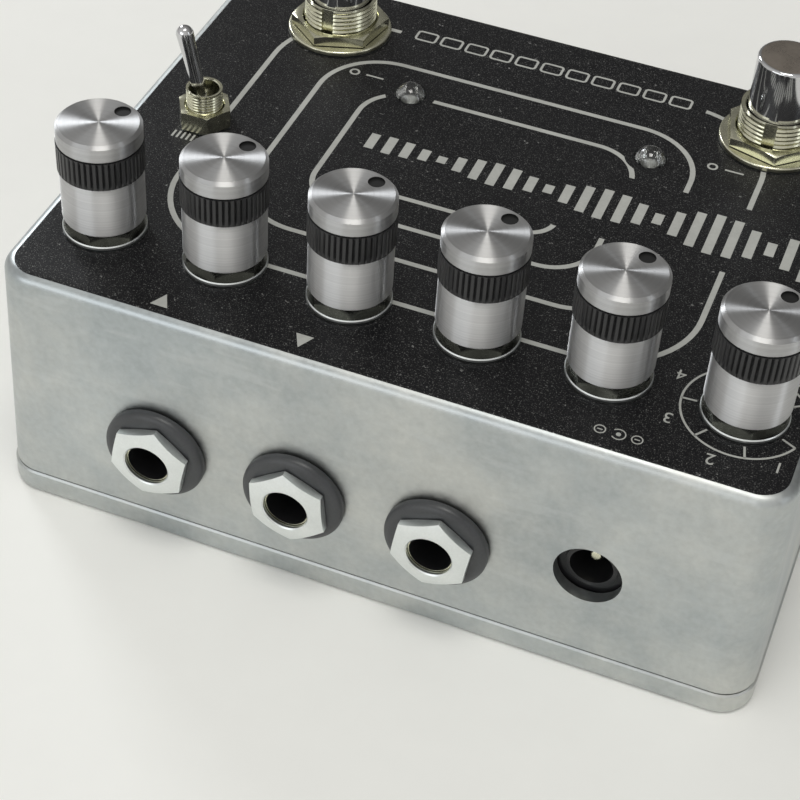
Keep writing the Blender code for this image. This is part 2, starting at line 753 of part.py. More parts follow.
def cap_mesh():
    top = CAP_BOTTOM + CAP_HEIGHT
    socket_top = CAP_BOTTOM + SPIGOT_HEIGHT
    socket_radius = CAP_RADIUS - CAP_WALL
    cup = lathe(
        [
            (0.0, socket_top),
            (socket_radius, socket_top),
            (socket_radius, CAP_BOTTOM),
            (CAP_RADIUS, CAP_BOTTOM),
            (CAP_RADIUS, top - CAP_CHAMFER),
            (CAP_RADIUS - CAP_CHAMFER, top),
            (0.0, top),
        ],
        ROUND_STEPS,
    )
    dot = moved(rod(DOT_RADIUS, top - DOT_DEPTH, top + CUT_OVERRUN, SMALL_STEPS), x=DOT_OFFSET)
    return carved(cup, cut=dot)


def make_knobs(finishes):
    pot, nut = pot_mesh(), pot_nut_mesh()
    sleeve, core, cap = sleeve_mesh(), core_mesh(), cap_mesh()
    sites = zip(knob_places(), POT_NUT_TURN_SHARES)
    for number, ((x, y), share) in enumerate(sites, 1):
        turn = (0.0, 0.0, share * math.pi / 3)
        piece(f"potentiometer_{number}", pot, finishes["tinned"], (x, y, 0.0))
        piece(f"potentiometer_nut_{number}", nut, finishes["nickel"], (x, y, ABOVE_PANEL), turn)
        axis = axis_empty(f"knob_axis_{number}", (x, y, 0.0), (0.0, 0.0, math.radians(DOT_REST_DEG)))
        piece(f"knob_sleeve_{number}", sleeve, finishes["aluminium"], parent=axis)
        piece(f"knob_core_{number}", core, finishes["black"], parent=axis)
        piece(f"knob_cap_{number}", cap, finishes["aluminium"], parent=axis)


def jack_front():
    """Where a jack's body meets the inside of the rear wall, at its highest and nearest point."""
    return rear_face(JACK_AXIS_HEIGHT + JACK_ABOVE_AXIS) - WALL - SEAT_GAP


def jack_washer_seat():
    return rear_face(JACK_AXIS_HEIGHT - JACK_WASHER_RADIUS) + FINE_GAP


def jack_nut_seat():
    return jack_washer_seat() + JACK_WASHER_HEIGHT + FINE_GAP


def jack_body_mesh():
    """Made along +Z, the way the plug comes out, with the broad block against the wall."""
    barrel_end = jack_nut_seat() + JACK_NUT_HEIGHT - JACK_NUT_LIP - FINE_GAP - jack_front()
    half = JACK_WIDTH / 2
    broad = rectangle(-half, half, -JACK_ABOVE_AXIS, JACK_BELOW_AXIS, JACK_CORNER_RADIUS)
    inner = half - JACK_STEP_INSET
    slim = rectangle(
        -inner,
        inner,
        JACK_STEP_INSET - JACK_ABOVE_AXIS,
        JACK_BELOW_AXIS - JACK_STEP_INSET,
        JACK_CORNER_RADIUS,
    )
    body = loft([(slim, -JACK_LENGTH), (slim, -JACK_STEP), (broad, -JACK_STEP), (broad, 0.0)])
    barrel = rod(JACK_BARREL_RADIUS, -JACK_STEP / 2, barrel_end, ROUND_STEPS)
    hole = bore(JACK_BORE_RADIUS, JACK_END_WALL - JACK_LENGTH, barrel_end + CUT_OVERRUN, ROUND_STEPS)
    return carved(body, joined=barrel, cut=hole)


def jack_washer_mesh():
    """A moulded washer that falls away from the nut to a thin round rim."""
    inner = JACK_BARREL_RADIUS + SEAT_GAP
    fall = JACK_WASHER_RADIUS - JACK_WASHER_TOP_RADIUS
    middle_height = JACK_WASHER_RIM + (JACK_WASHER_HEIGHT - JACK_WASHER_RIM) * 2 / 3
    return mesh_of(
        lathe(
            [
                (inner, 0.0),
                (JACK_WASHER_RADIUS, 0.0),
                (JACK_WASHER_RADIUS, JACK_WASHER_RIM),
                (JACK_WASHER_TOP_RADIUS + fall / 2, middle_height),
                (JACK_WASHER_TOP_RADIUS, JACK_WASHER_HEIGHT),
                (inner, JACK_WASHER_HEIGHT),
            ],
            ROUND_STEPS,
            hollow=True,
        )
    )


def jack_nut_mesh():
    """A nut whose low conical face closes over the barrel's end, down to the plug's hole."""
    corner_radius = JACK_NUT_FLATS / 2 / math.cos(math.pi / 6)
    corner_height = JACK_NUT_HEIGHT - JACK_NUT_FALL
    turned = lathe(
        [
            (0.0, -CUT_OVERRUN),
            (2 * corner_radius, -CUT_OVERRUN),
            (2 * corner_radius, corner_height - JACK_NUT_FALL),
            (corner_radius, corner_height),
            (JACK_BARREL_RADIUS, JACK_NUT_HEIGHT),
            (0.0, JACK_NUT_HEIGHT),
        ],
        ROUND_STEPS,
    )
    well = bore(
        JACK_BARREL_RADIUS + FINE_GAP, -CUT_OVERRUN, JACK_NUT_HEIGHT - JACK_NUT_LIP, ROUND_STEPS
    )
    hole = bore(JACK_NUT_HOLE_RADIUS, -CUT_OVERRUN, JACK_NUT_HEIGHT + CUT_OVERRUN, ROUND_STEPS)
    coned = bmesh.new()
    coned.from_mesh(carved(prism(hexagon(JACK_NUT_FLATS), 0.0, 2 * JACK_NUT_HEIGHT), kept=turned))
    welled = bmesh.new()
    welled.from_mesh(carved(coned, cut=well))
    return carved(welled, cut=hole)


def make_jacks(finishes):
    body, washer, nut = jack_body_mesh(), jack_washer_mesh(), jack_nut_mesh()
    _, *jack_xs = socket_xs()
    rearward = -math.pi / 2
    for name, x, share in zip(("expression", "output", "input"), jack_xs, JACK_NUT_TURN_SHARES):
        height = JACK_AXIS_HEIGHT
        piece(f"{name}_jack", body, finishes["black"], (x, jack_front(), height), (rearward, 0.0, 0.0))
        piece(
            f"{name}_jack_washer",
            washer,
            finishes["black"],
            (x, jack_washer_seat(), height),
            (rearward, 0.0, 0.0),
        )
        turned = Matrix.Rotation(rearward, 3, "X") @ Matrix.Rotation(share * math.pi / 3, 3, "Z")
        piece(
            f"{name}_jack_nut", nut, finishes["nickel"], (x, jack_nut_seat(), height), turned.to_euler()
        )


def make_power_jack(finish):
    half = POWER_WIDTH / 2
    outline = rectangle(-half, half, -POWER_ABOVE_AXIS, POWER_BELOW_AXIS, JACK_CORNER_RADIUS)
    body = prism(outline, -POWER_LENGTH, 0.0)
    collar = rod(POWER_COLLAR_RADIUS, -POWER_COLLAR_LENGTH, POWER_COLLAR_LENGTH, ROUND_STEPS)
    floor = POWER_COLLAR_LENGTH - POWER_BORE_DEPTH
    well = bore(POWER_BORE_RADIUS, floor, POWER_COLLAR_LENGTH + CUT_OVERRUN, ROUND_STEPS)
    shell = bmesh.new()
    shell.from_mesh(carved(body, joined=collar, cut=well))
    tip = POWER_COLLAR_LENGTH - POWER_PIN_SETBACK
    pin = lathe(
        [
            (0.0, floor - PIN_SINK),
            (POWER_PIN_RADIUS, floor - PIN_SINK),
            (POWER_PIN_RADIUS, tip - POWER_PIN_RADIUS / 2),
            (POWER_PIN_RADIUS / 2, tip),
            (0.0, tip),
        ],
        SMALL_STEPS,
    )
    x = socket_xs()[0]
    y = rear_face(POWER_AXIS_HEIGHT + POWER_ABOVE_AXIS) - WALL - SEAT_GAP
    place = (x, y, POWER_AXIS_HEIGHT)
    piece("power_jack", carved(shell, joined=pin), finish, place, (-math.pi / 2, 0.0, 0.0))


def toggle_case_mesh():
    bottom = BOARD_TOP + TOGGLE_BOARD_CLEARANCE
    half_length, half_width = TOGGLE_CASE_LENGTH / 2, TOGGLE_CASE_WIDTH / 2
    outline = rectangle(-half_length, half_length, -half_width, half_width, TOGGLE_CASE_RADIUS)
    bushing = rod(TOGGLE_BUSHING_RADIUS, BELOW_PANEL - PIN_SINK, TOGGLE_TOP, SMALL_STEPS)
    xs = [TOGGLE_PIN_PITCH * step for step in (-1, 0, 1)]
    floor = TOGGLE_PIVOT_HEIGHT - PIVOT_BALL_RADIUS - TOGGLE_WELL_FLOOR
    well = bore(TOGGLE_BORE_RADIUS, floor, TOGGLE_TOP + CUT_OVERRUN, SMALL_STEPS)
    added = gathered([bushing, *pins(xs, 0.0, bottom + PIN_SINK)])
    return carved(prism(outline, bottom, BELOW_PANEL), joined=added, cut=well)


def lever_mesh():
    """A bat lever about its own pivot: ball, root and the thicker round tip."""
    ball = []
    join = math.asin(LEVER_ROOT_RADIUS / PIVOT_BALL_RADIUS)
    for step in range(CORNER_STEPS + 1):
        angle = math.pi - (math.pi - join) * step / CORNER_STEPS
        ball.append((PIVOT_BALL_RADIUS * math.sin(angle), PIVOT_BALL_RADIUS * math.cos(angle)))
    ball[0] = (0.0, -PIVOT_BALL_RADIUS)
    length = TOGGLE_PIVOT_DEPTH + LEVER_LENGTH
    tip_centre = length - LEVER_TIP_RADIUS
    tip = []
    for step in range(CORNER_STEPS + 1):
        angle = math.pi / 2 * (1 - step / CORNER_STEPS)
        reach = LEVER_TIP_RADIUS * math.sin(angle)
        tip.append((reach, tip_centre + LEVER_TIP_RADIUS * math.cos(angle)))
    tip[-1] = (0.0, length)
    return mesh_of(lathe(ball + tip, SMALL_STEPS))


def make_toggle(finishes):
    x, y = toggle_place()
    piece("toggle_case", toggle_case_mesh(), finishes["nickel"], (x, y, 0.0))
    nut = hex_nut(TOGGLE_NUT_FLATS, TOGGLE_NUT_HEIGHT, TOGGLE_BUSHING_RADIUS + FINE_GAP)
    piece("toggle_nut", nut, finishes["nickel"], (x, y, ABOVE_PANEL))
    pivot = (x, y, TOGGLE_PIVOT_HEIGHT)
    piece("toggle_lever", lever_mesh(), finishes["chrome"], pivot, (0.0, TOGGLE_THROW, 0.0))


def switch_case_mesh():
    bottom = BELOW_PANEL - SWITCH_CASE_HEIGHT
    half = SWITCH_CASE_SIDE / 2
    outline = rectangle(-half, half, -half, half, SWITCH_CASE_RADIUS)
    bushing = lathe(
        [
            (0.0, BELOW_PANEL - PIN_SINK),
            (SWITCH_BUSHING_RADIUS, BELOW_PANEL - PIN_SINK),
            (SWITCH_BUSHING_RADIUS, SWITCH_TOP - SWITCH_BUSHING_CHAMFER),
            (SWITCH_BUSHING_RADIUS - SWITCH_BUSHING_CHAMFER, SWITCH_TOP),
            (0.0, SWITCH_TOP),
        ],
        FINE_STEPS,
    )
    lugs = [
        block(
            SWITCH_LUG_WIDTH,
            SWITCH_LUG_THICKNESS,
            bottom - SWITCH_LUG_LENGTH,
            bottom + PIN_SINK,
            (SWITCH_LUG_PITCH * column, SWITCH_LUG_PITCH * row),
        )
        for column in (-1, 0, 1)
        for row in (-1, 0, 1)
    ]
    well = bore(PLUNGER_RADIUS + RUNNING_GAP, SWITCH_BORE_FLOOR, SWITCH_TOP + CUT_OVERRUN, FINE_STEPS)
    keyway = block(
        SWITCH_KEYWAY_WIDTH,
        2 * SWITCH_KEYWAY_DEPTH,
        ABOVE_PANEL,
        SWITCH_TOP + CUT_OVERRUN,
        (0.0, SWITCH_BUSHING_RADIUS),
    )
    return carved(
        prism(outline, bottom, BELOW_PANEL),
        joined=gathered([bushing, *lugs]),
        cut=gathered([well, keyway]),
    )


def switch_washer_mesh():
    inner = SWITCH_BUSHING_RADIUS + FINE_GAP
    thickness = SWITCH_WASHER_THICKNESS
    edge = thickness / 3
    return mesh_of(
        lathe(
            [
                (inner, 0.0),
                (SWITCH_WASHER_RADIUS, 0.0),
                (SWITCH_WASHER_RADIUS, thickness - edge),
                (SWITCH_WASHER_RADIUS - edge, thickness),
                (inner, thickness),
            ],
            FINE_STEPS,
            hollow=True,
        )
    )


def plunger_mesh():
    """The footswitch's button, with its origin level with the bushing's top."""
    top = PLUNGER_HEIGHT - SWITCH_BUSHING_HEIGHT
    return mesh_of(
        lathe(
            [
                (0.0, -PLUNGER_ROOT),
                (PLUNGER_RADIUS, -PLUNGER_ROOT),
                (PLUNGER_RADIUS, top - PLUNGER_CHAMFER),
                (PLUNGER_RADIUS - PLUNGER_CHAMFER, top),
                (0.0, top),
            ],
            FINE_STEPS,
        )
    )


def make_footswitches(finishes):
    case, washer, plunger = switch_case_mesh(), switch_washer_mesh(), plunger_mesh()
    nut = hex_nut(SWITCH_NUT_FLATS, SWITCH_NUT_HEIGHT, SWITCH_BUSHING_RADIUS + FINE_GAP)
    sides = zip(("left", "right"), switch_places(), SWITCH_NUT_TURNS_DEG)
    for side, (x, y), nut_turn in sides:
        turn = (0.0, 0.0, math.radians(nut_turn))
        piece(f"{side}_footswitch_case", case, finishes["nickel"], (x, y, 0.0))
        piece(f"{side}_footswitch_washer", washer, finishes["nickel"], (x, y, ABOVE_PANEL))
        piece(f"{side}_footswitch_nut", nut, finishes["nickel"], (x, y, SWITCH_NUT_BASE), turn)
        piece(f"{side}_footswitch_button", plunger, finishes["chrome"], (x, y, SWITCH_TOP))


def make_lamps(finish):
    """Domed lamps whose flange lies under the panel, on two legs that stand on the board."""
    flange_top = BELOW_PANEL
    dome_centre = CASE_HEIGHT + LAMP_PROUD - LAMP_RADIUS
    profile = [
        (0.0, flange_top - LAMP_FLANGE_HEIGHT),
        (LAMP_FLANGE_RADIUS, flange_top - LAMP_FLANGE_HEIGHT),
        (LAMP_FLANGE_RADIUS, flange_top),
        (LAMP_RADIUS, flange_top),
    ]
    for step in range(CORNER_STEPS):
        angle = math.pi / 2 * step / CORNER_STEPS
        profile.append((LAMP_RADIUS * math.cos(angle), dome_centre + LAMP_RADIUS * math.sin(angle)))
    profile.append((0.0, dome_centre + LAMP_RADIUS))
    leg_top = flange_top - LAMP_FLANGE_HEIGHT + PIN_SINK
    legs = [
        block(LAMP_LEG_WIDTH, LAMP_LEG_WIDTH, PIN_END, leg_top, (side * LAMP_LEG_PITCH / 2, 0.0))
        for side in (-1, 1)
    ]
    mesh = carved(lathe(profile, SMALL_STEPS), joined=gathered(legs))
    for side, (x, y) in zip(("left", "right"), lamp_places()):
        piece(f"{side}_lamp", mesh, finish, (x, y, 0.0))


def main():
    clear_start()
    finishes = {
        "cast": material("sanded_casting", (0.62, 0.64, 0.63), 0.45, 1.0),
        "aluminium": material("turned_aluminium", (0.80, 0.80, 0.79), 0.28, 1.0),
        "nickel": material("nickel_plate", (0.74, 0.71, 0.62), 0.22, 1.0),
        "chrome": material("chrome_plate", (0.80, 0.80, 0.82), 0.08, 1.0),
        "tinned": material("tinned_steel", (0.60, 0.60, 0.58), 0.40, 1.0),
        "black": material("black_moulding", (0.02, 0.02, 0.02), 0.45),
        "board": material("board_laminate", (0.03, 0.12, 0.06), 0.50),
        "clear": material("clear_resin", (0.85, 0.87, 0.85), 0.10, 0.0, 0.5),
    }
    make_enclosure(finishes["cast"])
    make_lid(finishes["cast"])
    make_lid_screws(finishes["nickel"])
    make_board(finishes["board"])
    make_knobs(finishes)
    make_jacks(finishes)
    make_power_jack(finishes["black"])
    make_toggle(finishes)
    make_footswitches(finishes)
    make_lamps(finishes["clear"])


main()
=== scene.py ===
"""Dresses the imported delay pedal: fine threads and flutes, finishes, the printed panel and
a plain studio. Metres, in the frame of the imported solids, whose boxes give the places."""

import json
import math
from functools import partial

import bmesh
import bpy
from bpy.props import FloatProperty, FloatVectorProperty, IntProperty, PointerProperty
from bpy.types import Operator, Panel, PropertyGroup
from mathutils import Matrix, Vector


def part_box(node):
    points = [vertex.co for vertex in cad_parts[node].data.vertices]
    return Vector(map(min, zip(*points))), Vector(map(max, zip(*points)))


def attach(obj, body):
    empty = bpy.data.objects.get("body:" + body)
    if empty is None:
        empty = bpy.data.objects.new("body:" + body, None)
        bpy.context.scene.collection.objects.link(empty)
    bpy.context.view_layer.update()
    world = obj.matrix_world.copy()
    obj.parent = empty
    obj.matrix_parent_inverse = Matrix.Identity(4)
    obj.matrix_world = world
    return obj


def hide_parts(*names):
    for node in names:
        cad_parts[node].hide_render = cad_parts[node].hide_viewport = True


bl_info = {
    "name": "Delay Pedal",
    "version": (1, 0, 0),
    "blender": (4, 5, 0),
    "location": "3D View > Sidebar > Pedal",
    "description": "Builds the finished delay pedal round its packed solids",
    "category": "Object",
}

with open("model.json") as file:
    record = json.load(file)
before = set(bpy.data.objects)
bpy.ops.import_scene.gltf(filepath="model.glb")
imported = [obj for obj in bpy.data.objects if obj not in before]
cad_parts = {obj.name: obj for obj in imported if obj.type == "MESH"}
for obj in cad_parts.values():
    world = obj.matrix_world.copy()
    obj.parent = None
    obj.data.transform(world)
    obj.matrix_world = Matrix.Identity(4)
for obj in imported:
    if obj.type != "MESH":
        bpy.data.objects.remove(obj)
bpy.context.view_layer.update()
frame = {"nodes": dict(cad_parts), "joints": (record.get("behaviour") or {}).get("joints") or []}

MM = 0.001
OVERRUN = 1.0 * MM
SEAM = 0.005 * MM
KNOBS = range(1, 7)
SIDES = ("left", "right")
JACKS = ("expression", "output", "input")
SCREWS = [f"lid_screw_{number}" for number in range(1, 5)]

# Case and lid, beside what their boxes give
WALL = 1.9 * MM
PANEL_THICKNESS = 2.3 * MM
WALL_DRAFT = 0.8 * MM
CORNER_RADIUS = 5.5 * MM
TOP_EDGE_RADIUS = 1.8 * MM
LID_EDGE_RADIUS = 0.9 * MM
LID_INNER_EDGE = 0.3 * MM
LID_THICKNESS = 4.1 * MM
LIP_INSET = 2.3 * MM
LIP_THICKNESS = 1.6 * MM
POCKET_INSET = 12.0 * MM
POCKET_DEPTH = 1.5 * MM
POST_RADIUS = 3.8 * MM
POST_NOTCH_RADIUS = 4.2 * MM
SCREW_RADIUS = 1.6 * MM
SCREW_SLACK = 0.3 * MM
SCREW_PITCH = 0.5 * MM
SCREW_THREAD_DEPTH = 0.2 * MM
SCREW_HEAD_SETBACK = 0.2 * MM
SCREW_HEAD_HEIGHT = 1.7 * MM
SCREW_HEAD_BEVEL = (0.1 * MM, 0.15 * MM)
RECESS_SPAN = 3.4 * MM
RECESS_WIDTH = 0.8 * MM
RECESS_DEPTH = 1.0 * MM

# Knobs
SLEEVE_WALL = 1.0 * MM
SLEEVE_EDGE = 0.25 * MM
SLEEVE_LOWER_EDGE = 0.6 * MM
CAP_WALL = 1.2 * MM
CAP_LOWER_EDGE = 0.2 * MM
# The cap's chamfer, as steps in from its side and down from its top
CAP_CHAMFER = ((0.0, 0.45 * MM), (0.06 * MM, 0.41 * MM), (0.41 * MM, 0.05 * MM), (0.48 * MM, 0.0))
SPIGOT_HEIGHT = 1.3 * MM
DOT_RADIUS = 1.2 * MM
DOT_OFFSET = 4.15 * MM
DOT_DEPTH = 0.3 * MM
DOT_DEG = -117.0
SHAFT_RADIUS = 2.9 * MM
PLUG_RADIUS = 4.95 * MM
CORE_RECESS = 0.7 * MM
RING_RADIUS = 6.3 * MM
RING_HEIGHT = 4.5 * MM
RING_GAP = 0.15 * MM
FLUTE_RUN_OUT = 0.4 * MM
FLUTE_STEPS = 8
FLUTE_ROWS = 12

# Potentiometer nuts
POT_WASHER_THICKNESS = 0.5 * MM
POT_WASHER_EDGE = 0.15 * MM
POT_NUT_FLATS = 10.0 * MM
POT_NUT_DEG = (52.2, 57.0, 24.6, 53.4, 39.6, 35.4)
POT_HOLE_RADIUS = 3.7 * MM

# Jacks, turned about an axis that runs to the rear
JACK_LENGTH = 23.0 * MM
JACK_STEP = 9.0 * MM
JACK_STEP_INSET = 1.6 * MM
JACK_BARREL_RADIUS = 4.5 * MM
JACK_BORE_RADIUS = 3.25 * MM
JACK_END_WALL = 2.0 * MM
JACK_ABOVE_AXIS = 9.1 * MM
JACK_CORNER_RADIUS = 1.2 * MM
JACK_WASHER_HOLE = 4.8 * MM
JACK_WASHER_TOP_RADIUS = 6.5 * MM
JACK_WASHER_RIM = 0.5 * MM
JACK_NUT_FLATS = 11.2 * MM
JACK_NUT_FALL = 0.8 * MM
JACK_NUT_OVERHANG = 0.4 * MM
JACK_NUT_LIP = 0.7 * MM
JACK_NUT_HOLE = 3.45 * MM
JACK_NUT_HOLE_EDGE = 0.2 * MM
JACK_NUT_SLACK = 0.15 * MM
JACK_NUT_DEG = (22.2, 36.0, 19.2)
JACK_HOLE_RADIUS = 4.8 * MM
POWER_HOLE_RADIUS = 5.05 * MM
POWER_ABOVE_AXIS = 6.95 * MM
POWER_COLLAR_RADIUS = 3.9 * MM
POWER_COLLAR_PROUD = 0.4 * MM
POWER_COLLAR_EDGE = 0.1 * MM
POWER_BORE_RADIUS = 3.2 * MM
POWER_BORE_DEPTH = 9.5 * MM
POWER_PIN_RADIUS = 1.0 * MM
POWER_PIN_SETBACK = 2.0 * MM

# Toggle switch
TOGGLE_CASE_DEPTH = 8.0 * MM
TOGGLE_CORNER_RADIUS = 0.6 * MM
TOGGLE_BUSHING_RADIUS = 2.84 * MM
TOGGLE_THREAD_DEPTH = 0.14 * MM
TOGGLE_BORE_RADIUS = 2.34 * MM
TOGGLE_BORE_FLOOR = 1.25 * MM
TOGGLE_BORE_EDGE = 0.15 * MM
TOGGLE_PIN_SIDE = 1.0 * MM
TOGGLE_PIN_LENGTH = 2.2 * MM
TOGGLE_PIN_PITCH = 4.6 * MM
TOGGLE_NUT_FLATS = 7.6 * MM
LEVER_ROOT_RADIUS = 1.0 * MM
LEVER_TIP_RADIUS = 1.35 * MM
LEVER_SWELL = 1.25
LEVER_BALL_RADIUS = 2.0 * MM
LEVER_REACH = 15.0 * MM
LEVER_LEAN_DEG = 13.0

# Footswitches
SWITCH_CASE_SIDE = 17.2 * MM
SWITCH_CORNER_RADIUS = 0.8 * MM
SWITCH_BUSHING_RADIUS = 6.0 * MM
SWITCH_THREAD_DEPTH = 0.22 * MM
SWITCH_BORE_RADIUS = 5.2 * MM
SWITCH_BORE_DEPTH = 7.5 * MM
SWITCH_BORE_EDGE = 0.2 * MM
SWITCH_KEYWAY_WIDTH = 2.0 * MM
SWITCH_KEYWAY_DEPTH = 0.5 * MM
SWITCH_WASHER_SLACK = 0.15 * MM
SWITCH_WASHER_EDGE_SHARE = 0.4
SWITCH_NUT_FLATS = 14.0 * MM
SWITCH_NUT_DEG = (44.0, 20.0)
SWITCH_LUG_SIDES = (1.6 * MM, 0.7 * MM)
SWITCH_LUG_PITCH = 5.0 * MM
SWITCH_LUG_LENGTH = 3.5 * MM
BUTTON_EDGE = 0.5 * MM
FLAT_TOP_NORMAL = 0.999

# Lamps
LAMP_RADIUS = 2.5 * MM
LAMP_HOLE_RADIUS = 2.65 * MM
LAMP_FLANGE_HEIGHT = 1.0 * MM
LAMP_LEG_SIDE = 0.5 * MM
LAMP_LEG_SHIFT = 1.27 * MM
LAMP_LEG_GAP = 0.05 * MM
LAMP_CUP_RADIUS = 0.95 * MM
LAMP_CUP_SETBACK = 0.4 * MM
# The cup from its foot to its dish, as shares of its radius and depths below its rim
LAMP_CUP_PROFILE = ((0.6, 2.0 * MM), (1.0, 0.3 * MM), (1.0, 0.0), (0.85, 0.0), (0.3, 0.6 * MM))

# How finely round shapes are drawn, and how nuts are finished
ROUND_STEPS = 128
SMALL_STEPS = 64
CORNER_STEPS = 16
SMALL_CORNER_STEPS = 4
FILLET_STEPS = 8
THREAD_AROUND = 72
THREAD_STEPS_PER_TURN = 8
SHARP_EDGE_DEG = 30.0
SCREW_SHARP_DEG = 40.0
NUT_CHAMFER_START = 0.25 * MM
NUT_CHAMFER_DEG = 22.0
NUT_SINK = 0.25 * MM
NUT_SLACK = 0.1 * MM

# The photograph's camera, fitted to the case and its fittings
CAMERA_PLACE = (-65.79 * MM, 230.85 * MM, 226.45 * MM)
CAMERA_AZIMUTH_DEG = 198.32
CAMERA_ELEVATION_DEG = 43.56
CAMERA_ROLL_DEG = 4.09
PHOTO_SIDE = 800.0
FOCAL_PIXELS = 1978.78
CENTRE_PIXELS = (402.6, 402.8)
SENSOR_WIDTH = 36.0


# Settings

def colour_setting(name, description, default):
    return FloatVectorProperty(
        name=name, description=description, subtype="COLOR", default=default, min=0.0, max=1.0
    )


def length_setting(name, description, default, least=0.0, precision=5):
    return FloatProperty(
        name=name, description=description, default=default, min=least, unit="LENGTH", precision=precision
    )


def power_setting(name, description, default):
    return FloatProperty(name=name, description=description, default=default, min=0.0, unit="POWER")


class PedalFinish(PropertyGroup):
    """The colours of the finishes."""

    case: colour_setting("Case", "Sanded aluminium of case and lid", (0.46, 0.495, 0.505))
    panel: colour_setting("Panel", "Black screened coat on the top", (0.005, 0.005, 0.006))
    ink: colour_setting("Ink", "Pale ink of dial, arrows and pattern", (0.42, 0.425, 0.40))
    aluminium: colour_setting("Aluminium", "Turned aluminium of the knobs", (0.80, 0.80, 0.80))
    nickel: colour_setting("Nickel", "Nickel plate of nuts and bushings", (0.66, 0.65, 0.50))
    chrome: colour_setting("Chrome", "Chrome of the lever and the buttons", (0.62, 0.62, 0.63))
    plastic: colour_setting("Plastic", "Black mouldings", (0.012, 0.012, 0.013))


class PedalDetail(PropertyGroup):
    """The sizes of the fine detail."""

    flutes: IntProperty(
        name="Flutes", description="Flutes round each knob's black ring", default=46, min=12
    )
    flute_depth: length_setting("Flute Depth", "Depth of a flute", 0.34 * MM)
    fine_pitch: length_setting("Fine Pitch", "Thread pitch of the toggle's bushing", 0.5 * MM, 0.1 * MM)
    coarse_pitch: length_setting("Coarse Pitch", "Thread pitch of the footswitches", 0.75 * MM, 0.1 * MM)
    coat: length_setting("Coat", "Thickness of the black coat", 0.04 * MM, 0.01 * MM, 6)
    ink_height: length_setting("Ink Height", "Thickness of the pale ink", 0.02 * MM, 0.005 * MM, 6)
    stroke: length_setting("Stroke", "Width of the pattern's lines", 0.85 * MM, 0.1 * MM)
    bars: IntProperty(name="Bars", description="Bars in the fading pattern", default=26, min=4)
    numeral_height: length_setting("Numeral Height", "Height of the dial's numerals", 2.1 * MM, 0.5 * MM)


class PedalStudio(PropertyGroup):
    """The lights and the floor."""

    overhead: power_setting("Overhead", "Power of the soft light above", 3.4)
    key: power_setting("Key", "Power of the side light", 2.5)
    fill: power_setting("Fill", "Power of the light by the camera", 1.8)
    strip: power_setting("Strip", "Power of the narrow light", 0.45)
    room: FloatProperty(name="Room", description="Brightness of the room", default=0.66, min=0.0)
    floor: colour_setting("Floor", "Colour of the floor", (0.91, 0.91, 0.88))


def finish_colours():
    return bpy.context.scene.pedal_finish


def detail():
    return bpy.context.scene.pedal_detail


def studio():
    return bpy.context.scene.pedal_studio


# Outlines

def circle(radius, steps):
    angles = (math.tau * step / steps for step in range(steps))
    return [(radius * math.cos(angle), radius * math.sin(angle)) for angle in angles]


def hexagon(across_flats):
    return circle(hexagon_reach(across_flats), 6)


def hexagon_reach(across_flats):
    """How far a hexagon's corners are from its middle."""
    return across_flats / 2 / math.cos(math.pi / 6)


def arc(centre, radius, start_deg, end_deg, steps=FILLET_STEPS):
    """Points on an arc, across and along a face, or out and up in a profile."""
    points = []
    for step in range(steps + 1):
        angle = math.radians(start_deg + (end_deg - start_deg) * step / steps)
        points.append((centre[0] + radius * math.cos(angle), centre[1] + radius * math.sin(angle)))
    return points


def rounded_rectangle(half_x, near, far, radius, steps=CORNER_STEPS, middle_x=0.0):
    """An outline from one side to the other of middle_x and from near to far."""
    left, right = middle_x - half_x + radius, middle_x + half_x - radius
    near, far = near + radius, far - radius
    points = []
    for quarter, centre in enumerate(((right, far), (left, far), (left, near), (right, near))):
        points += arc(centre, radius, 90.0 * quarter, 90.0 * (quarter + 1), steps)
    return points


def case_outline(inset, radius, half):
    return rounded_rectangle(half.x - inset, inset - half.y, half.y - inset, radius)


def cross_outline(span, width):
    arm, half = span / 2, width / 2
    points = []
    for quarter in range(4):
        turn = Matrix.Rotation(math.pi / 2 * quarter, 2)
        points += [tuple(turn @ Vector(point)) for point in ((arm, half), (half, half), (half, arm))]
    return points


# Shapes

def skin(rings, closed=False, capped=False):
    """Joins each ring of places to the next, the last to the first if closed. A pole is a ring of one."""
    shape = bmesh.new()
    rows = [[shape.verts.new(place) for place in ring] for ring in rings]
    steps = max(len(row) for row in rows)
    rows = [row * (steps // len(row)) for row in rows]
    following = rows[1:] + (rows[:1] if closed else [])
    for low, high in zip(rows, following):
        for here in range(steps):
            there = (here + 1) % steps
            corners = dict.fromkeys((low[here], low[there], high[there], high[here]))
            if len(corners) > 2:
                shape.faces.new(list(corners))
    if capped:
        shape.faces.new(rows[0])
        shape.faces.new(rows[-1])
    bmesh.ops.recalc_face_normals(shape, faces=shape.faces)
    return shape


def loft(loops):
    """A closed skin over outlines of (points, height), with a flat face at each end."""
    return skin([[(x, y, height) for x, y in points] for points, height in loops], capped=True)


def prism(points, low, high):
    return loft([(points, low), (points, high)])


def rod(radius, low, high, steps=SMALL_STEPS):
    return prism(circle(radius, steps), low, high)


def block(size_x, size_y, low, high, centre=(0.0, 0.0)):
    x, y = centre
    near, far = y - size_y / 2, y + size_y / 2
    left, right = x - size_x / 2, x + size_x / 2
    return prism([(left, near), (right, near), (right, far), (left, far)], low, high)


def lathe(profile, steps=ROUND_STEPS, hollow=False):
    """(radius, height) points turned about Z: from axis to axis, or a closed ring if hollow."""
    rings = []
    for radius, height in profile:
        points = [(0.0, 0.0)] if radius < SEAM else circle(radius, steps)
        rings.append([(x, y, height) for x, y in points])
    return skin(rings, closed=hollow)


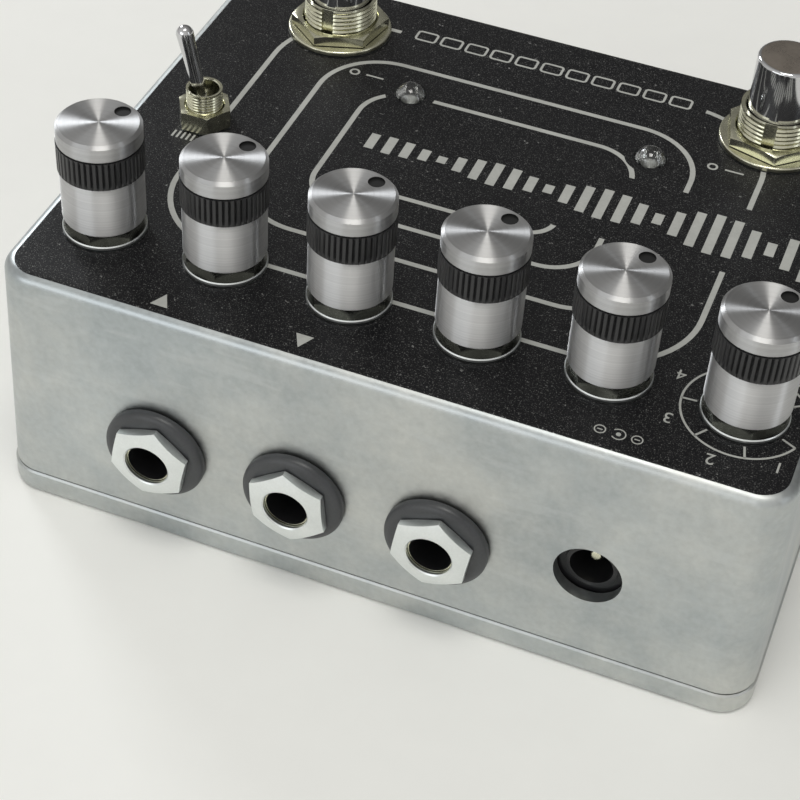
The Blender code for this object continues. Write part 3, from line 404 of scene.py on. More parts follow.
def solid_lathe(profile, steps=SMALL_STEPS):
    """A profile's flat ends run in to the axis."""
    return lathe([(0.0, profile[0][1]), *profile, (0.0, profile[-1][1])], steps)


def ribbon(left, right, low, high, closed=False):
    """A flat band between two lines of points, with a thickness."""
    rings = [
        ((*here, low), (*there, low), (*there, high), (*here, high)) for here, there in zip(left, right)
    ]
    return skin(rings, closed, not closed)


def moved(shape, x=0.0, y=0.0, z=0.0):
    bmesh.ops.translate(shape, verts=shape.verts, vec=(x, y, z))
    return shape


def turned(shape, degrees, axis="Z"):
    turn = Matrix.Rotation(math.radians(degrees), 4, axis)
    bmesh.ops.transform(shape, matrix=turn, verts=shape.verts)
    return shape


def facing_rear(shape, x, z):
    """Turns a shape made along +Z so that it runs along +Y, on an axis at x and z."""
    return moved(turned(shape, -90.0, "X"), x, 0.0, z)


def mesh_of(shape):
    mesh = bpy.data.meshes.new("shape")
    shape.to_mesh(mesh)
    shape.free()
    return mesh


def gathered(shapes):
    together = bmesh.new()
    for shape in shapes:
        mesh = mesh_of(shape)
        together.from_mesh(mesh)
        bpy.data.meshes.remove(mesh)
    return together


def shape_of(mesh):
    shape = bmesh.new()
    shape.from_mesh(mesh)
    bpy.data.meshes.remove(mesh)
    return shape


def loose_object(name, data):
    item = bpy.data.objects.new(name, data)
    bpy.context.scene.collection.objects.link(item)
    return item


def evaluated_mesh(item):
    """The mesh of an object after its modifiers. The object and its modifiers go."""
    depsgraph = bpy.context.evaluated_depsgraph_get()
    mesh = bpy.data.meshes.new_from_object(item.evaluated_get(depsgraph))
    item.modifiers.clear()
    bpy.data.objects.remove(item, do_unlink=True)
    return mesh


def carved(shape, joined=None, cut=None, kept=None):
    """A shape after others are joined to it, cut from it and intersected with it."""
    body = loose_object("carved", mesh_of(shape))
    guides = []
    for operation, tool in (("UNION", joined), ("DIFFERENCE", cut), ("INTERSECT", kept)):
        if tool is None:
            continue
        guides.append(loose_object("guide", mesh_of(tool)))
        step = body.modifiers.new(operation.title(), "BOOLEAN")
        step.operation = operation
        step.solver = "EXACT"
        step.object = guides[-1]
    mesh = evaluated_mesh(body)
    for guide in guides:
        bpy.data.objects.remove(guide, do_unlink=True)
    return shape_of(mesh)


def softened(shape, width, steps=2, limit_deg=35.0):
    """Rounds a shape's sharp edges."""
    item = loose_object("softened", mesh_of(shape))
    bevel = item.modifiers.new("Bevel", "BEVEL")
    bevel.width = width
    bevel.segments = steps
    bevel.limit_method = "ANGLE"
    bevel.angle_limit = math.radians(limit_deg)
    bevel.use_clamp_overlap = True
    return shape_of(evaluated_mesh(item))


def hex_nut(across_flats, height, hole_radius):
    """A nut whose corners are turned off at its upper end and whose hole is countersunk."""
    reach = hexagon_reach(across_flats) + OVERRUN
    shoulder = across_flats / 2 + NUT_CHAMFER_START
    drop = (reach - shoulder) * math.tan(math.radians(NUT_CHAMFER_DEG))
    blank = solid_lathe([(reach, 0.0), (reach, height - drop), (shoulder, height)], ROUND_STEPS)
    wide = hole_radius + NUT_SINK + OVERRUN
    hole = solid_lathe([
        (wide, -OVERRUN), (hole_radius, NUT_SINK),
        (hole_radius, height - NUT_SINK), (wide, height + OVERRUN),
    ])
    nut = carved(prism(hexagon(across_flats), -OVERRUN, height + OVERRUN), kept=blank)
    return carved(nut, cut=hole)


def paint_faces(shape, chosen):
    """Gives the faces that a test picks the second of the piece's finishes."""
    for face in shape.faces:
        face.material_index = int(chosen(face))
    return shape


def paint_core(shape, radius, low, high=math.inf, centre=(0.0, 0.0)):
    """Gives the faces near an upright axis, between two heights, the second finish."""
    def within(face):
        spot = face.calc_center_median()
        return (spot.xy - Vector(centre)).length < radius + SEAM and low < spot.z < high
    return paint_faces(shape, within)


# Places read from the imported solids

def middle(name):
    low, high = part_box(name)
    return (low + high) / 2


def low_of(name):
    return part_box(name)[0]


def high_of(name):
    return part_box(name)[1]


def half_width(low, high):
    return (high.x - low.x) / 2


def radius_of(name):
    """The farthest that an upright round node reaches from its axis."""
    centre = middle(name)
    return max((point.co - centre).xy.length for point in frame["nodes"][name].data.vertices)


def stood_at(shape, name, z=0.0):
    """Moves a shape made on the upright axis through the origin to a node's own upright axis."""
    return moved(shape, *middle(name).xy, z)


def panel_height():
    return high_of("enclosure").z


def panel_underside():
    """Where the cases below the panel end, just clear of it."""
    return panel_height() - PANEL_THICKNESS - SCREW_SLACK


def power_axis():
    low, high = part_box("power_jack")
    return (low.x + high.x) / 2, high.z - POWER_ABOVE_AXIS


# Node trees

VALUE = "NodeSocketFloat"
COUNT = "NodeSocketInt"
VECTOR = "NodeSocketVector"
COLOUR = "NodeSocketColor"
MATERIAL = "NodeSocketMaterial"
GEOMETRY = "NodeSocketGeometry"


def fill(tree, sockets, values):
    """Links or sets a node's inputs."""
    for key, value in values.items():
        if isinstance(value, bpy.types.NodeSocket):
            tree.links.new(value, sockets[key])
        else:
            sockets[key].default_value = value


def node(tree, kind, inputs=None, **settings):
    made = tree.nodes.new(kind)
    for key, value in settings.items():
        setattr(made, key, value)
    fill(tree, made.inputs, inputs or {})
    return made


def math_node(tree, operation, *values, clamp=False):
    """One Math node's result."""
    inputs = dict(enumerate(values))
    return node(tree, "ShaderNodeMath", inputs, operation=operation, use_clamp=clamp).outputs[0]


def new_group(name, kind, inputs, outputs):
    """An empty node group with named sockets, and its entry's and result's sockets."""
    tree = bpy.data.node_groups.new(name, kind)
    for label, socket_type, default in inputs:
        made = tree.interface.new_socket(label, in_out="INPUT", socket_type=socket_type)
        if default is not None:
            made.default_value = default
    for label, socket_type in outputs:
        tree.interface.new_socket(label, in_out="OUTPUT", socket_type=socket_type)
    entry = tree.nodes.new("NodeGroupInput").outputs
    return tree, entry, tree.nodes.new("NodeGroupOutput").inputs


def built_once(library, name):
    """For a function that builds a node group or a finish: later calls get the one it built."""
    def keep(build):
        return lambda: getattr(bpy.data, library).get(name) or build(name)
    return keep


def end_tree(tree, geometry, entry, result):
    real = node(tree, "GeometryNodeRealizeInstances", {0: geometry})
    inputs = {"Geometry": real.outputs[0], "Material": entry["Material"]}
    fill(tree, result, {0: node(tree, "GeometryNodeSetMaterial", inputs).outputs[0]})
    return tree


@built_once("node_groups", "Ribbed Rod")
def ribbed_rod_tree(name):
    """A rod whose side is worked: straight flutes all round, or a thread that climbs it."""
    inputs = [
        ("Radius", VALUE, 6.0 * MM), ("Low", VALUE, 0.0), ("High", VALUE, 5.0 * MM),
        ("Depth", VALUE, 0.3 * MM), ("Starts", COUNT, 1), ("Turns per Metre", VALUE, 0.0),
        ("Groove Share", VALUE, 1.0), ("Run-out", VALUE, 0.0), ("Around", COUNT, ROUND_STEPS),
        ("Along", COUNT, 1), ("Material", MATERIAL, None),
    ]
    tree, entry, result = new_group(name, "GeometryNodeTree", inputs, [("Geometry", GEOMETRY)])
    maths = partial(math_node, tree)
    height = maths("SUBTRACT", entry["High"], entry["Low"])
    centre = maths("MULTIPLY", maths("ADD", entry["High"], entry["Low"]), 0.5)
    sizes = {
        "Vertices": entry["Around"], "Side Segments": entry["Along"],
        "Radius": entry["Radius"], "Depth": height,
    }
    blank = node(tree, "GeometryNodeMeshCylinder", sizes, fill_type="NGON")
    place = node(tree, "ShaderNodeSeparateXYZ", {0: node(tree, "GeometryNodeInputPosition").outputs[0]})
    x, y, z = place.outputs
    climb = maths("ADD", z, centre)
    around = maths("MULTIPLY", maths("DIVIDE", maths("ARCTAN2", y, x), math.tau), entry["Starts"])
    phase = maths("SUBTRACT", around, maths("MULTIPLY", climb, entry["Turns per Metre"]))
    crest = maths("ABSOLUTE", maths("MULTIPLY_ADD", maths("FRACT", phase), 2.0, -1.0))
    sunk = maths("SUBTRACT", 1.0, maths("DIVIDE", crest, entry["Groove Share"]), clamp=True)
    guard = 1e-9
    run = maths("ADD", entry["Run-out"], guard)
    below = maths("ADD", maths("SUBTRACT", climb, entry["Low"]), guard)
    above = maths("ADD", maths("SUBTRACT", entry["High"], climb), guard)
    fade = maths("DIVIDE", maths("MINIMUM", below, above), run, clamp=True)
    depth = maths("MULTIPLY", maths("MULTIPLY", sunk, fade), entry["Depth"])
    share = maths("SUBTRACT", 1.0, maths("DIVIDE", depth, entry["Radius"]))
    spot = {0: maths("MULTIPLY", x, share), 1: maths("MULTIPLY", y, share), 2: climb}
    worked = node(tree, "ShaderNodeCombineXYZ", spot)
    inputs = {"Geometry": blank.outputs["Mesh"], "Position": worked.outputs[0]}
    return end_tree(tree, node(tree, "GeometryNodeSetPosition", inputs).outputs[0], entry, result)


@built_once("node_groups", "Placed Copies")
def placed_copies_tree(name):
    """One part set down at every point of the object's own mesh."""
    inputs = [
        ("Geometry", GEOMETRY, None), ("Part", "NodeSocketObject", None), ("Material", MATERIAL, None)
    ]
    tree, entry, result = new_group(name, "GeometryNodeTree", inputs, [("Geometry", GEOMETRY)])
    part = node(tree, "GeometryNodeObjectInfo", {"Object": entry["Part"]})
    inputs = {"Points": entry["Geometry"], "Instance": part.outputs["Geometry"]}
    return end_tree(tree, node(tree, "GeometryNodeInstanceOnPoints", inputs).outputs[0], entry, result)


@built_once("node_groups", "Fading Bars")
def fading_bars_tree(name):
    """A row of upright bars whose heights swing and die away."""
    inputs = [
        ("Count", COUNT, 26), ("Pitch", VALUE, 3.0 * MM), ("Width", VALUE, 1.6 * MM),
        ("Height", VALUE, 12.0 * MM), ("Thickness", VALUE, 0.02 * MM), ("Fade per Bar", VALUE, 0.06),
        ("Swing per Bar", VALUE, 0.5), ("Least Share", VALUE, 0.25), ("Material", MATERIAL, None),
    ]
    tree, entry, result = new_group(name, "GeometryNodeTree", inputs, [("Geometry", GEOMETRY)])
    maths = partial(math_node, tree)
    step = node(tree, "ShaderNodeCombineXYZ", {0: entry["Pitch"]})
    row = node(tree, "GeometryNodeMeshLine", {"Count": entry["Count"], "Offset": step.outputs[0]})
    index = node(tree, "GeometryNodeInputIndex").outputs[0]
    fade = maths("EXPONENT", maths("MULTIPLY", index, maths("MULTIPLY", entry["Fade per Bar"], -1.0)))
    swing = maths("ABSOLUTE", maths("COSINE", maths("MULTIPLY", index, entry["Swing per Bar"])))
    room = maths("SUBTRACT", 1.0, entry["Least Share"])
    share = maths("MULTIPLY_ADD", swing, room, entry["Least Share"])
    height = maths("MULTIPLY", maths("MULTIPLY", share, fade), entry["Height"])
    size = node(tree, "ShaderNodeCombineXYZ", {0: entry["Width"], 1: height, 2: entry["Thickness"]})
    bar = node(tree, "GeometryNodeMeshCube")
    inputs = {"Points": row.outputs[0], "Instance": bar.outputs[0], "Scale": size.outputs[0]}
    return end_tree(tree, node(tree, "GeometryNodeInstanceOnPoints", inputs).outputs[0], entry, result)


def grown(tree, values, mesh=None):
    """The shape that a geometry tree makes from named values."""
    item = loose_object("grown", mesh or bpy.data.meshes.new("grown"))
    step = item.modifiers.new("Grow", "NODES")
    step.node_group = tree
    for socket in tree.interface.items_tree:
        if socket.name in values and socket.in_out == "INPUT":
            step[socket.identifier] = values[socket.name]
    return shape_of(evaluated_mesh(item))


def threaded(radius, low, high, pitch, depth):
    """A threaded rod, in nickel like all the threads here."""
    values = {
        "Radius": radius, "Low": low, "High": high, "Depth": depth, "Starts": 1,
        "Turns per Metre": 1.0 / pitch, "Groove Share": 1.0, "Run-out": pitch / 2,
        "Around": THREAD_AROUND, "Along": max(2, round((high - low) / pitch * THREAD_STEPS_PER_TURN)),
        "Material": finish("nickel"),
    }
    return grown(ribbed_rod_tree(), values)


# Shader groups

# How much smaller a mottle's fine clouds are than its broad ones, and their share of it
FINE_CLOUD_SCALE = 14.0
FINE_CLOUD_SHARE = 0.35
HAIRLINE_EDGE = 0.08


def noise(tree, vector, scale, octaves=3.0, roughness=0.55):
    inputs = {"Vector": vector, "Scale": scale, "Detail": octaves, "Roughness": roughness}
    return node(tree, "ShaderNodeTexNoise", inputs).outputs["Fac"]


def spread(tree, value, low, high, to_low=0.0, to_high=1.0):
    """A value from one range carried over to another."""
    inputs = {0: value, 1: low, 2: high, 3: to_low, 4: to_high}
    return node(tree, "ShaderNodeMapRange", inputs).outputs[0]


def varied(tree, mask, colour, amount):
    """A colour made darker and lighter by a mask round one half."""
    factor = math_node(tree, "MULTIPLY_ADD", math_node(tree, "SUBTRACT", mask, 0.5), amount, 1.0)
    inputs = {0: colour, "Scale": factor}
    return node(tree, "ShaderNodeVectorMath", inputs, operation="SCALE").outputs[0]


def mixed(tree, factor, first, second):
    inputs = {"Factor": factor, "A": first, "B": second}
    return node(tree, "ShaderNodeMix", inputs, data_type="RGBA").outputs["Result"]


@built_once("node_groups", "Mottle")
def mottle_group(name):
    """Cloudy variation in a surface's brightness, coarse and fine together."""
    inputs = [
        ("Vector", VECTOR, None), ("Colour", COLOUR, (0.5, 0.5, 0.5, 1.0)),
        ("Scale", VALUE, 60.0), ("Amount", VALUE, 0.2),
    ]
    tree, entry, result = new_group(name, "ShaderNodeTree", inputs, [("Colour", COLOUR), ("Value", VALUE)])
    maths = partial(math_node, tree)
    broad = noise(tree, entry["Vector"], entry["Scale"], octaves=4.0, roughness=0.6)
    fine = noise(tree, entry["Vector"], maths("MULTIPLY", entry["Scale"], FINE_CLOUD_SCALE), octaves=2.0)
    both = maths("MULTIPLY_ADD", fine, FINE_CLOUD_SHARE, maths("MULTIPLY", broad, 1.0 - FINE_CLOUD_SHARE))
    mask = spread(tree, both, low=0.32, high=0.68)
    colour = varied(tree, mask, entry["Colour"], entry["Amount"])
    fill(tree, result, {"Colour": colour, "Value": mask})
    return tree


@built_once("node_groups", "Hairlines")
def scratch_group(name):
    """Sparse hair-fine marks that run one way."""
    inputs = [
        ("Vector", VECTOR, None), ("Scale", VALUE, 300.0),
        ("Stretch", VALUE, 12.0), ("Cutoff", VALUE, 0.62),
    ]
    tree, entry, result = new_group(name, "ShaderNodeTree", inputs, [("Mask", VALUE)])
    size = node(tree, "ShaderNodeCombineXYZ", {0: 1.0, 1: entry["Stretch"], 2: entry["Stretch"]})
    inputs = {0: entry["Vector"], 1: size.outputs[0]}
    drawn = node(tree, "ShaderNodeVectorMath", inputs, operation="MULTIPLY")
    lines = noise(tree, drawn.outputs[0], entry["Scale"], octaves=2.0)
    edge = math_node(tree, "ADD", entry["Cutoff"], HAIRLINE_EDGE)
    fill(tree, result, {"Mask": spread(tree, lines, entry["Cutoff"], edge)})
    return tree


@built_once("node_groups", "Turning Marks")
def turning_group(name):
    """Fine rings round an upright axis, as a cutting tool leaves them."""
    inputs = [
        ("Vector", VECTOR, None), ("Colour", COLOUR, (0.8, 0.8, 0.8, 1.0)),
        ("Rings per Metre", VALUE, 4000.0), ("Amount", VALUE, 0.2),
    ]
    tree, entry, result = new_group(name, "ShaderNodeTree", inputs, [("Colour", COLOUR), ("Height", VALUE)])
    x, y, z = node(tree, "ShaderNodeSeparateXYZ", {0: entry["Vector"]}).outputs
    flat = node(tree, "ShaderNodeCombineXYZ", {0: x, 1: y}).outputs[0]
    reach = node(tree, "ShaderNodeVectorMath", {0: flat}, operation="LENGTH").outputs["Value"]
    track = node(tree, "ShaderNodeCombineXYZ", {0: reach, 1: z}).outputs[0]
    rings = noise(tree, track, entry["Rings per Metre"], octaves=2.0, roughness=0.7)
    colour = varied(tree, rings, entry["Colour"], entry["Amount"])
    fill(tree, result, {"Colour": colour, "Height": rings})
    return tree


def group_node(tree, group, inputs):
    return node(tree, "ShaderNodeGroup", inputs, node_tree=group).outputs


def bump(tree, place, grain_scale, strength, depth):
    """The normals of a fine grain."""
    return raised(tree, noise(tree, place, grain_scale, octaves=2.0), strength, depth)


def raised(tree, height, strength, depth):
    inputs = {"Height": height, "Strength": strength, "Distance": depth}
    return node(tree, "ShaderNodeBump", inputs).outputs[0]


# Materials. A finish's name differs from the record's, which the solids bring along

WARM_CAST_METAL = (0.545, 0.555, 0.535, 1.0)
PALE_CAST_METAL = (0.64, 0.66, 0.66, 1.0)
PANEL_SPECK = (0.24, 0.24, 0.235, 1.0)
# A grey tint on the clear lenses: painted shade that darkens the lamps
LENS_PAINTED_SHADE = (0.62, 0.64, 0.63, 1.0)
# How far scratches pale the case, how strong the coat's fine specks are beside its dust, and the
# quarter turn that lays a reflection across the turning marks
PALE_MARKS = 0.2
SPECK_SHARE = 0.7
ACROSS_MARKS = 0.25
# Each mottled finish: its colour or the setting that holds it, its roughness, its metalness, its
# clouds' scale, their amount, the swing of its gloss, and its grain's scale, strength and depth
MOTTLED_FINISHES = {
    "pale_ink": ("ink", 0.42, 0.0, 160.0, 0.22, 0.08, (1700.0, 0.3, 0.03 * MM)),
    "knob_black": ((0.020, 0.020, 0.021), 0.34, 0.0, 300.0, 0.5, 0.06, (2500.0, 0.15, 0.02 * MM)),
    "dot_black": ((0.006, 0.006, 0.006), 0.45, 0.0, 400.0, 0.3, 0.05, (2500.0, 0.1, 0.02 * MM)),
    "nickel": ("nickel", 0.22, 1.0, 260.0, 0.34, 0.09, (900.0, 0.12, 0.02 * MM)),
    # A dark copy of nickel: painted shade on the knobs' nuts and on the tops of their washers
    "dull_nickel": ((0.25, 0.255, 0.235), 0.24, 1.0, 260.0, 0.5, 0.08, (1400.0, 0.2, 0.02 * MM)),
    "bright_nickel": ((0.80, 0.83, 0.82), 0.36, 1.0, 220.0, 0.12, 0.06, (1400.0, 0.2, 0.02 * MM)),
    # A lighter, bluish copy of the black plastic: painted light on the jacks' upturned washers
    "washer_plastic": ((0.045, 0.047, 0.050), 0.40, 0.0, 200.0, 0.4, 0.06, (1800.0, 0.2, 0.03 * MM)),
    "chrome": ("chrome", 0.09, 1.0, 120.0, 0.10, 0.04, (600.0, 0.05, 0.01 * MM)),
    # A brownish metal on the buttons' flat tops
    "worn_top": ((0.50, 0.44, 0.38), 0.30, 1.0, 260.0, 0.25, 0.08, (1500.0, 0.2, 0.02 * MM)),
    "black_plastic": ("plastic", 0.36, 0.0, 200.0, 0.4, 0.06, (1800.0, 0.2, 0.03 * MM)),
    "tinned_steel": ((0.55, 0.55, 0.53), 0.38, 1.0, 150.0, 0.2, 0.08, (1200.0, 0.2, 0.02 * MM)),
    "board_laminate": ((0.02, 0.10, 0.05), 0.42, 0.0, 120.0, 0.3, 0.06, (700.0, 0.3, 0.05 * MM)),
}
FLOOR_PAPER = (0.75, 0.0, 9.0, 0.03, 0.03, None)
# Each turning: its roughness and the share that it keeps of the aluminium's colour. The spun caps keep less
# than the satin sleeves: painted shade that darkens the caps' upward faces
TURNINGS = {"spun": (0.40, 0.70), "satin": (0.46, 0.88)}


def new_material(name, roughness, metallic, **sockets):
    """An empty finish, its tree, its shader's inputs and its Object coordinates."""
    made = bpy.data.materials.new(name)
    made.use_nodes = True
    tree = made.node_tree
    shader = tree.nodes["Principled BSDF"].inputs
    fill(tree, shader, {"Roughness": roughness, "Metallic": metallic})
    fill(tree, shader, {key.replace("_", " "): value for key, value in sockets.items()})
    return made, tree, shader, tree.nodes.new("ShaderNodeTexCoord").outputs["Object"]


def mottled_material(name, colour, roughness, metallic, scale, amount, swing, grain):
    """A finish with cloudy colour, uneven gloss and a fine grain."""
    made, tree, shader, place = new_material(name, roughness, metallic)
    inputs = {"Vector": place, "Colour": (*colour, 1.0), "Scale": scale, "Amount": amount}
    cloud = group_node(tree, mottle_group(), inputs)
    gloss = spread(tree, cloud["Value"], 0.0, 1.0, roughness - swing, roughness + swing)
    fill(tree, shader, {"Base Color": cloud["Colour"], "Roughness": gloss})
    if grain:
        fill(tree, shader, {"Normal": bump(tree, place, *grain)})
    return made


def finish(use):
    """One of the mottled finishes, made once."""
    name = f"{use}_finish"
    if name in bpy.data.materials:
        return bpy.data.materials[name]
    colour, *rest = MOTTLED_FINISHES[use]
    if isinstance(colour, str):
        colour = getattr(finish_colours(), colour)
    return mottled_material(name, colour, *rest)


@built_once("materials", "case_metal_finish")
def case_metal(name):
    made, tree, shader, place = new_material(name, roughness=0.42, metallic=1.0)
    clouds = noise(tree, place, scale=38.0, octaves=5.0, roughness=0.65)
    patches = spread(tree, clouds, low=0.36, high=0.64)
    tint = mixed(tree, patches, (*finish_colours().case, 1.0), WARM_CAST_METAL)
    inputs = {"Vector": place, "Colour": tint, "Scale": 75.0, "Amount": 0.30}
    cloud = group_node(tree, mottle_group(), inputs)
    inputs = {"Vector": place, "Scale": 70.0, "Stretch": 6.0, "Cutoff": 0.62}
    marks = group_node(tree, scratch_group(), inputs)
    pale = math_node(tree, "MULTIPLY", marks["Mask"], PALE_MARKS)
    fill(tree, shader, {
        "Base Color": mixed(tree, pale, cloud["Colour"], PALE_CAST_METAL),
        "Roughness": spread(tree, cloud["Value"], 0.0, 1.0, to_low=0.34, to_high=0.50),
        "Normal": bump(tree, place, grain_scale=1400.0, strength=0.25, depth=0.05 * MM),
    })
    return made


@built_once("materials", "panel_coat_finish")
def panel_coat(name):
    made, tree, shader, place = new_material(name, roughness=0.36, metallic=0.0, Specular_IOR_Level=0.24)
    specks = spread(tree, noise(tree, place, scale=5200.0, octaves=2.0), low=0.58, high=0.72)
    dust = spread(tree, noise(tree, place, scale=1500.0, octaves=3.0), low=0.68, high=0.75)
    light = math_node(tree, "MAXIMUM", math_node(tree, "MULTIPLY", specks, SPECK_SHARE), dust)
    cloud = group_node(tree, mottle_group(), {"Vector": place, "Scale": 70.0})
    fill(tree, shader, {
        "Base Color": mixed(tree, light, (*finish_colours().panel, 1.0), PANEL_SPECK),
        "Roughness": spread(tree, cloud["Value"], 0.0, 1.0, to_low=0.30, to_high=0.44),
        "Normal": bump(tree, place, grain_scale=3000.0, strength=0.8, depth=0.04 * MM),
    })
    return made


def turned_aluminium(number, use):
    """Turned metal, its rings centred on one knob."""
    roughness, shade = TURNINGS[use]
    made, tree, shader, place = new_material(
        f"{use}_aluminium_{number}_finish", roughness, 1.0,
        Anisotropic=1.0, Anisotropic_Rotation=ACROSS_MARKS,
    )
    centre = middle(f"knob_cap_{number}")
    shift = {"Vector": place, "Location": (-centre.x, -centre.y, 0.0)}
    local = node(tree, "ShaderNodeMapping", shift, vector_type="POINT").outputs[0]
    # The kept share darkens the one aluminium; on the spun caps it is painted shade.
    colour = (*(shade * part for part in finish_colours().aluminium), 1.0)
    inputs = {"Vector": local, "Colour": colour, "Rings per Metre": 3500.0, "Amount": 0.35}
    marks = group_node(tree, turning_group(), inputs)
    normal = raised(tree, marks["Height"], strength=0.12, depth=0.02 * MM)
    fill(tree, shader, {"Base Color": marks["Colour"], "Normal": normal})
    return made


@built_once("materials", "clear_resin_finish")
def clear_resin(name):
    made, tree, shader, place = new_material(
        name, roughness=0.16, metallic=0.0,
        IOR=1.48, Transmission_Weight=1.0, Coat_Weight=1.0, Coat_Roughness=0.03,
    )
    # The lens's grey tint is painted shade.
    inputs = {"Vector": place, "Colour": LENS_PAINTED_SHADE, "Scale": 900.0, "Amount": 0.5}
    fill(tree, shader, {"Base Color": group_node(tree, mottle_group(), inputs)["Colour"]})
    return made


# Finished pieces

def add_piece(name, shape, finishes, nodes=(), body="case", sharp_deg=SHARP_EDGE_DEG):
    """Makes a shape one piece of the pedal, riding on a body and standing for its nodes."""
    mesh = mesh_of(shape)
    mesh.name = name
    for material in finishes:
        mesh.materials.append(material)
    mesh.shade_smooth()
    mesh.set_sharp_from_angle(angle=math.radians(sharp_deg))
    item = loose_object(name, mesh)
    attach(item, body)
    if nodes:
        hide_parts(*nodes)


def top_edge(half, top, proud=0.0, steps=FILLET_STEPS):
    """Outlines over the case's rounded top edge, grown all round by a coat's thickness."""
    radius = TOP_EDGE_RADIUS + proud
    points = arc((-radius, top - TOP_EDGE_RADIUS), radius, 0.0, 90.0, steps)
    return [
        (case_outline(WALL_DRAFT - proud - x, CORNER_RADIUS + proud + x, half), height)
        for x, height in points
    ]


class PEDAL_OT_case(Operator):
    """Build the cast case with its rounded edges, holes and screw posts"""

    bl_idname = "pedal.case"
    bl_label = "Case"

    def execute(self, context):
        low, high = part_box("enclosure")
        half, rim, top = high.xy, low.z, high.z
        ceiling = top - PANEL_THICKNESS
        lean = WALL_DRAFT * (ceiling - rim) / (top - rim)
        inner = CORNER_RADIUS - WALL
        loops = [
            (case_outline(WALL + lean, inner, half), ceiling),
            (case_outline(WALL, inner, half), rim),
            (case_outline(0.0, CORNER_RADIUS, half), rim),
        ]
        posts = [stood_at(rod(POST_RADIUS, rim, ceiling + PANEL_THICKNESS / 2), name) for name in SCREWS]
        outside = loft(loops + top_edge(half, top))
        shell = carved(outside, joined=gathered(posts), cut=gathered(case_holes()))
        add_piece("case_shell", shell, [case_metal()], ["enclosure"])
        return {"FINISHED"}


def case_holes():
    """The holes for all that goes through the top, the far wall and the posts."""
    top = panel_height()
    low, high = top - PANEL_THICKNESS - OVERRUN, top + OVERRUN
    sized = [(f"potentiometer_nut_{number}", POT_HOLE_RADIUS) for number in KNOBS]
    sized += [(f"{side}_footswitch_nut", SWITCH_BUSHING_RADIUS + SCREW_SLACK) for side in SIDES]
    sized += [(f"{side}_lamp", LAMP_HOLE_RADIUS) for side in SIDES]
    sized.append(("toggle_nut", TOGGLE_BUSHING_RADIUS + SCREW_SLACK))
    holes = [stood_at(rod(radius, low, high), name) for name, radius in sized]
    rear = high_of("enclosure").y
    low, high = rear - WALL_DRAFT - WALL - OVERRUN, rear + OVERRUN
    for name in JACKS:
        place = middle(f"{name}_jack_washer")
        holes.append(facing_rear(rod(JACK_HOLE_RADIUS, low, high), place.x, place.z))
    holes.append(facing_rear(rod(POWER_HOLE_RADIUS, low, high), *power_axis()))
    low, high = low_of("enclosure").z - OVERRUN, high_of(SCREWS[0]).z + OVERRUN
    return holes + [stood_at(rod(SCREW_RADIUS + SCREW_SLACK, low, high), name) for name in SCREWS]


class PEDAL_OT_lid(Operator):
    """Build the lid with its rounded edge, its locating lip and its countersinks"""

    bl_idname = "pedal.lid"
    bl_label = "Lid"

    def execute(self, context):
        half, lip_top = high_of("bottom_lid").xy, high_of("bottom_lid").z
        # Each step of the lid: its inset, its corners' radius and its height
        edge = arc((-LID_EDGE_RADIUS, LID_EDGE_RADIUS), LID_EDGE_RADIUS, -90.0, 0.0)
        steps = [(-x, CORNER_RADIUS + x, height) for x, height in edge]
        lip_radius = CORNER_RADIUS - WALL
        inner = LIP_INSET + LIP_THICKNESS
        steps += [
            (0.0, CORNER_RADIUS, LID_THICKNESS - LID_INNER_EDGE),
            (LID_INNER_EDGE, CORNER_RADIUS - LID_INNER_EDGE, LID_THICKNESS),
            (LIP_INSET, lip_radius, LID_THICKNESS),
            (LIP_INSET, lip_radius, lip_top),
            (inner, lip_radius, lip_top),
            (inner, lip_radius, LID_THICKNESS),
            (POCKET_INSET, CORNER_RADIUS, LID_THICKNESS),
            (POCKET_INSET + POCKET_DEPTH, CORNER_RADIUS, LID_THICKNESS - POCKET_DEPTH),
        ]
        plate = loft([(case_outline(inset, radius, half), height) for inset, radius, height in steps])
        low, high = LID_THICKNESS - SCREW_SLACK, lip_top + OVERRUN
        notches = [stood_at(rod(POST_NOTCH_RADIUS, low, high), name) for name in SCREWS]
        sinks = [stood_at(countersink(), name) for name in SCREWS]
        plate = carved(plate, cut=gathered(notches))
        plate = carved(plate, cut=gathered(sinks))
        add_piece("lid_plate", plate, [case_metal()], ["bottom_lid"])
        return {"FINISHED"}


def countersink():
    shank = SCREW_RADIUS + SCREW_SLACK
    head = radius_of(SCREWS[0]) + SCREW_SLACK
    return solid_lathe([
        (head, -OVERRUN), (head, SCREW_HEAD_SETBACK),
        (shank, SCREW_HEAD_SETBACK + SCREW_HEAD_HEIGHT), (shank, LID_THICKNESS + OVERRUN),
    ])


class PEDAL_OT_lid_screws(Operator):
    """Set the four countersunk screws in the lid"""

    bl_idname = "pedal.lid_screws"
    bl_label = "Lid Screws"

    def execute(self, context):
        low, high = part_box(SCREWS[0])
        head = radius_of(SCREWS[0])
        neck = low.z + SCREW_HEAD_HEIGHT
        root = neck - SCREW_THREAD_DEPTH
        thread = threaded(SCREW_RADIUS, root, high.z, SCREW_PITCH, SCREW_THREAD_DEPTH)
        inward, upward = SCREW_HEAD_BEVEL
        cone = solid_lathe([(head - inward, low.z), (head, low.z + upward), (SCREW_RADIUS, neck)])
        recess = prism(cross_outline(RECESS_SPAN, RECESS_WIDTH), low.z - OVERRUN, low.z + RECESS_DEPTH)
        screw = loose_object("screw", mesh_of(carved(cone, joined=thread, cut=recess)))
        points = bpy.data.meshes.new("screw_places")
        points.from_pydata([(*middle(name).xy, 0.0) for name in SCREWS], [], [])
        shape = grown(placed_copies_tree(), {"Part": screw, "Material": finish("nickel")}, points)
        bpy.data.objects.remove(screw, do_unlink=True)
        add_piece("lid_screws", shape, [finish("nickel")], SCREWS)
        return {"FINISHED"}


PRINT_HALF = (57.1 * MM, 44.8 * MM)
PRINT_CORNER = 4.2 * MM
PRINT_DROP = 1.2 * MM


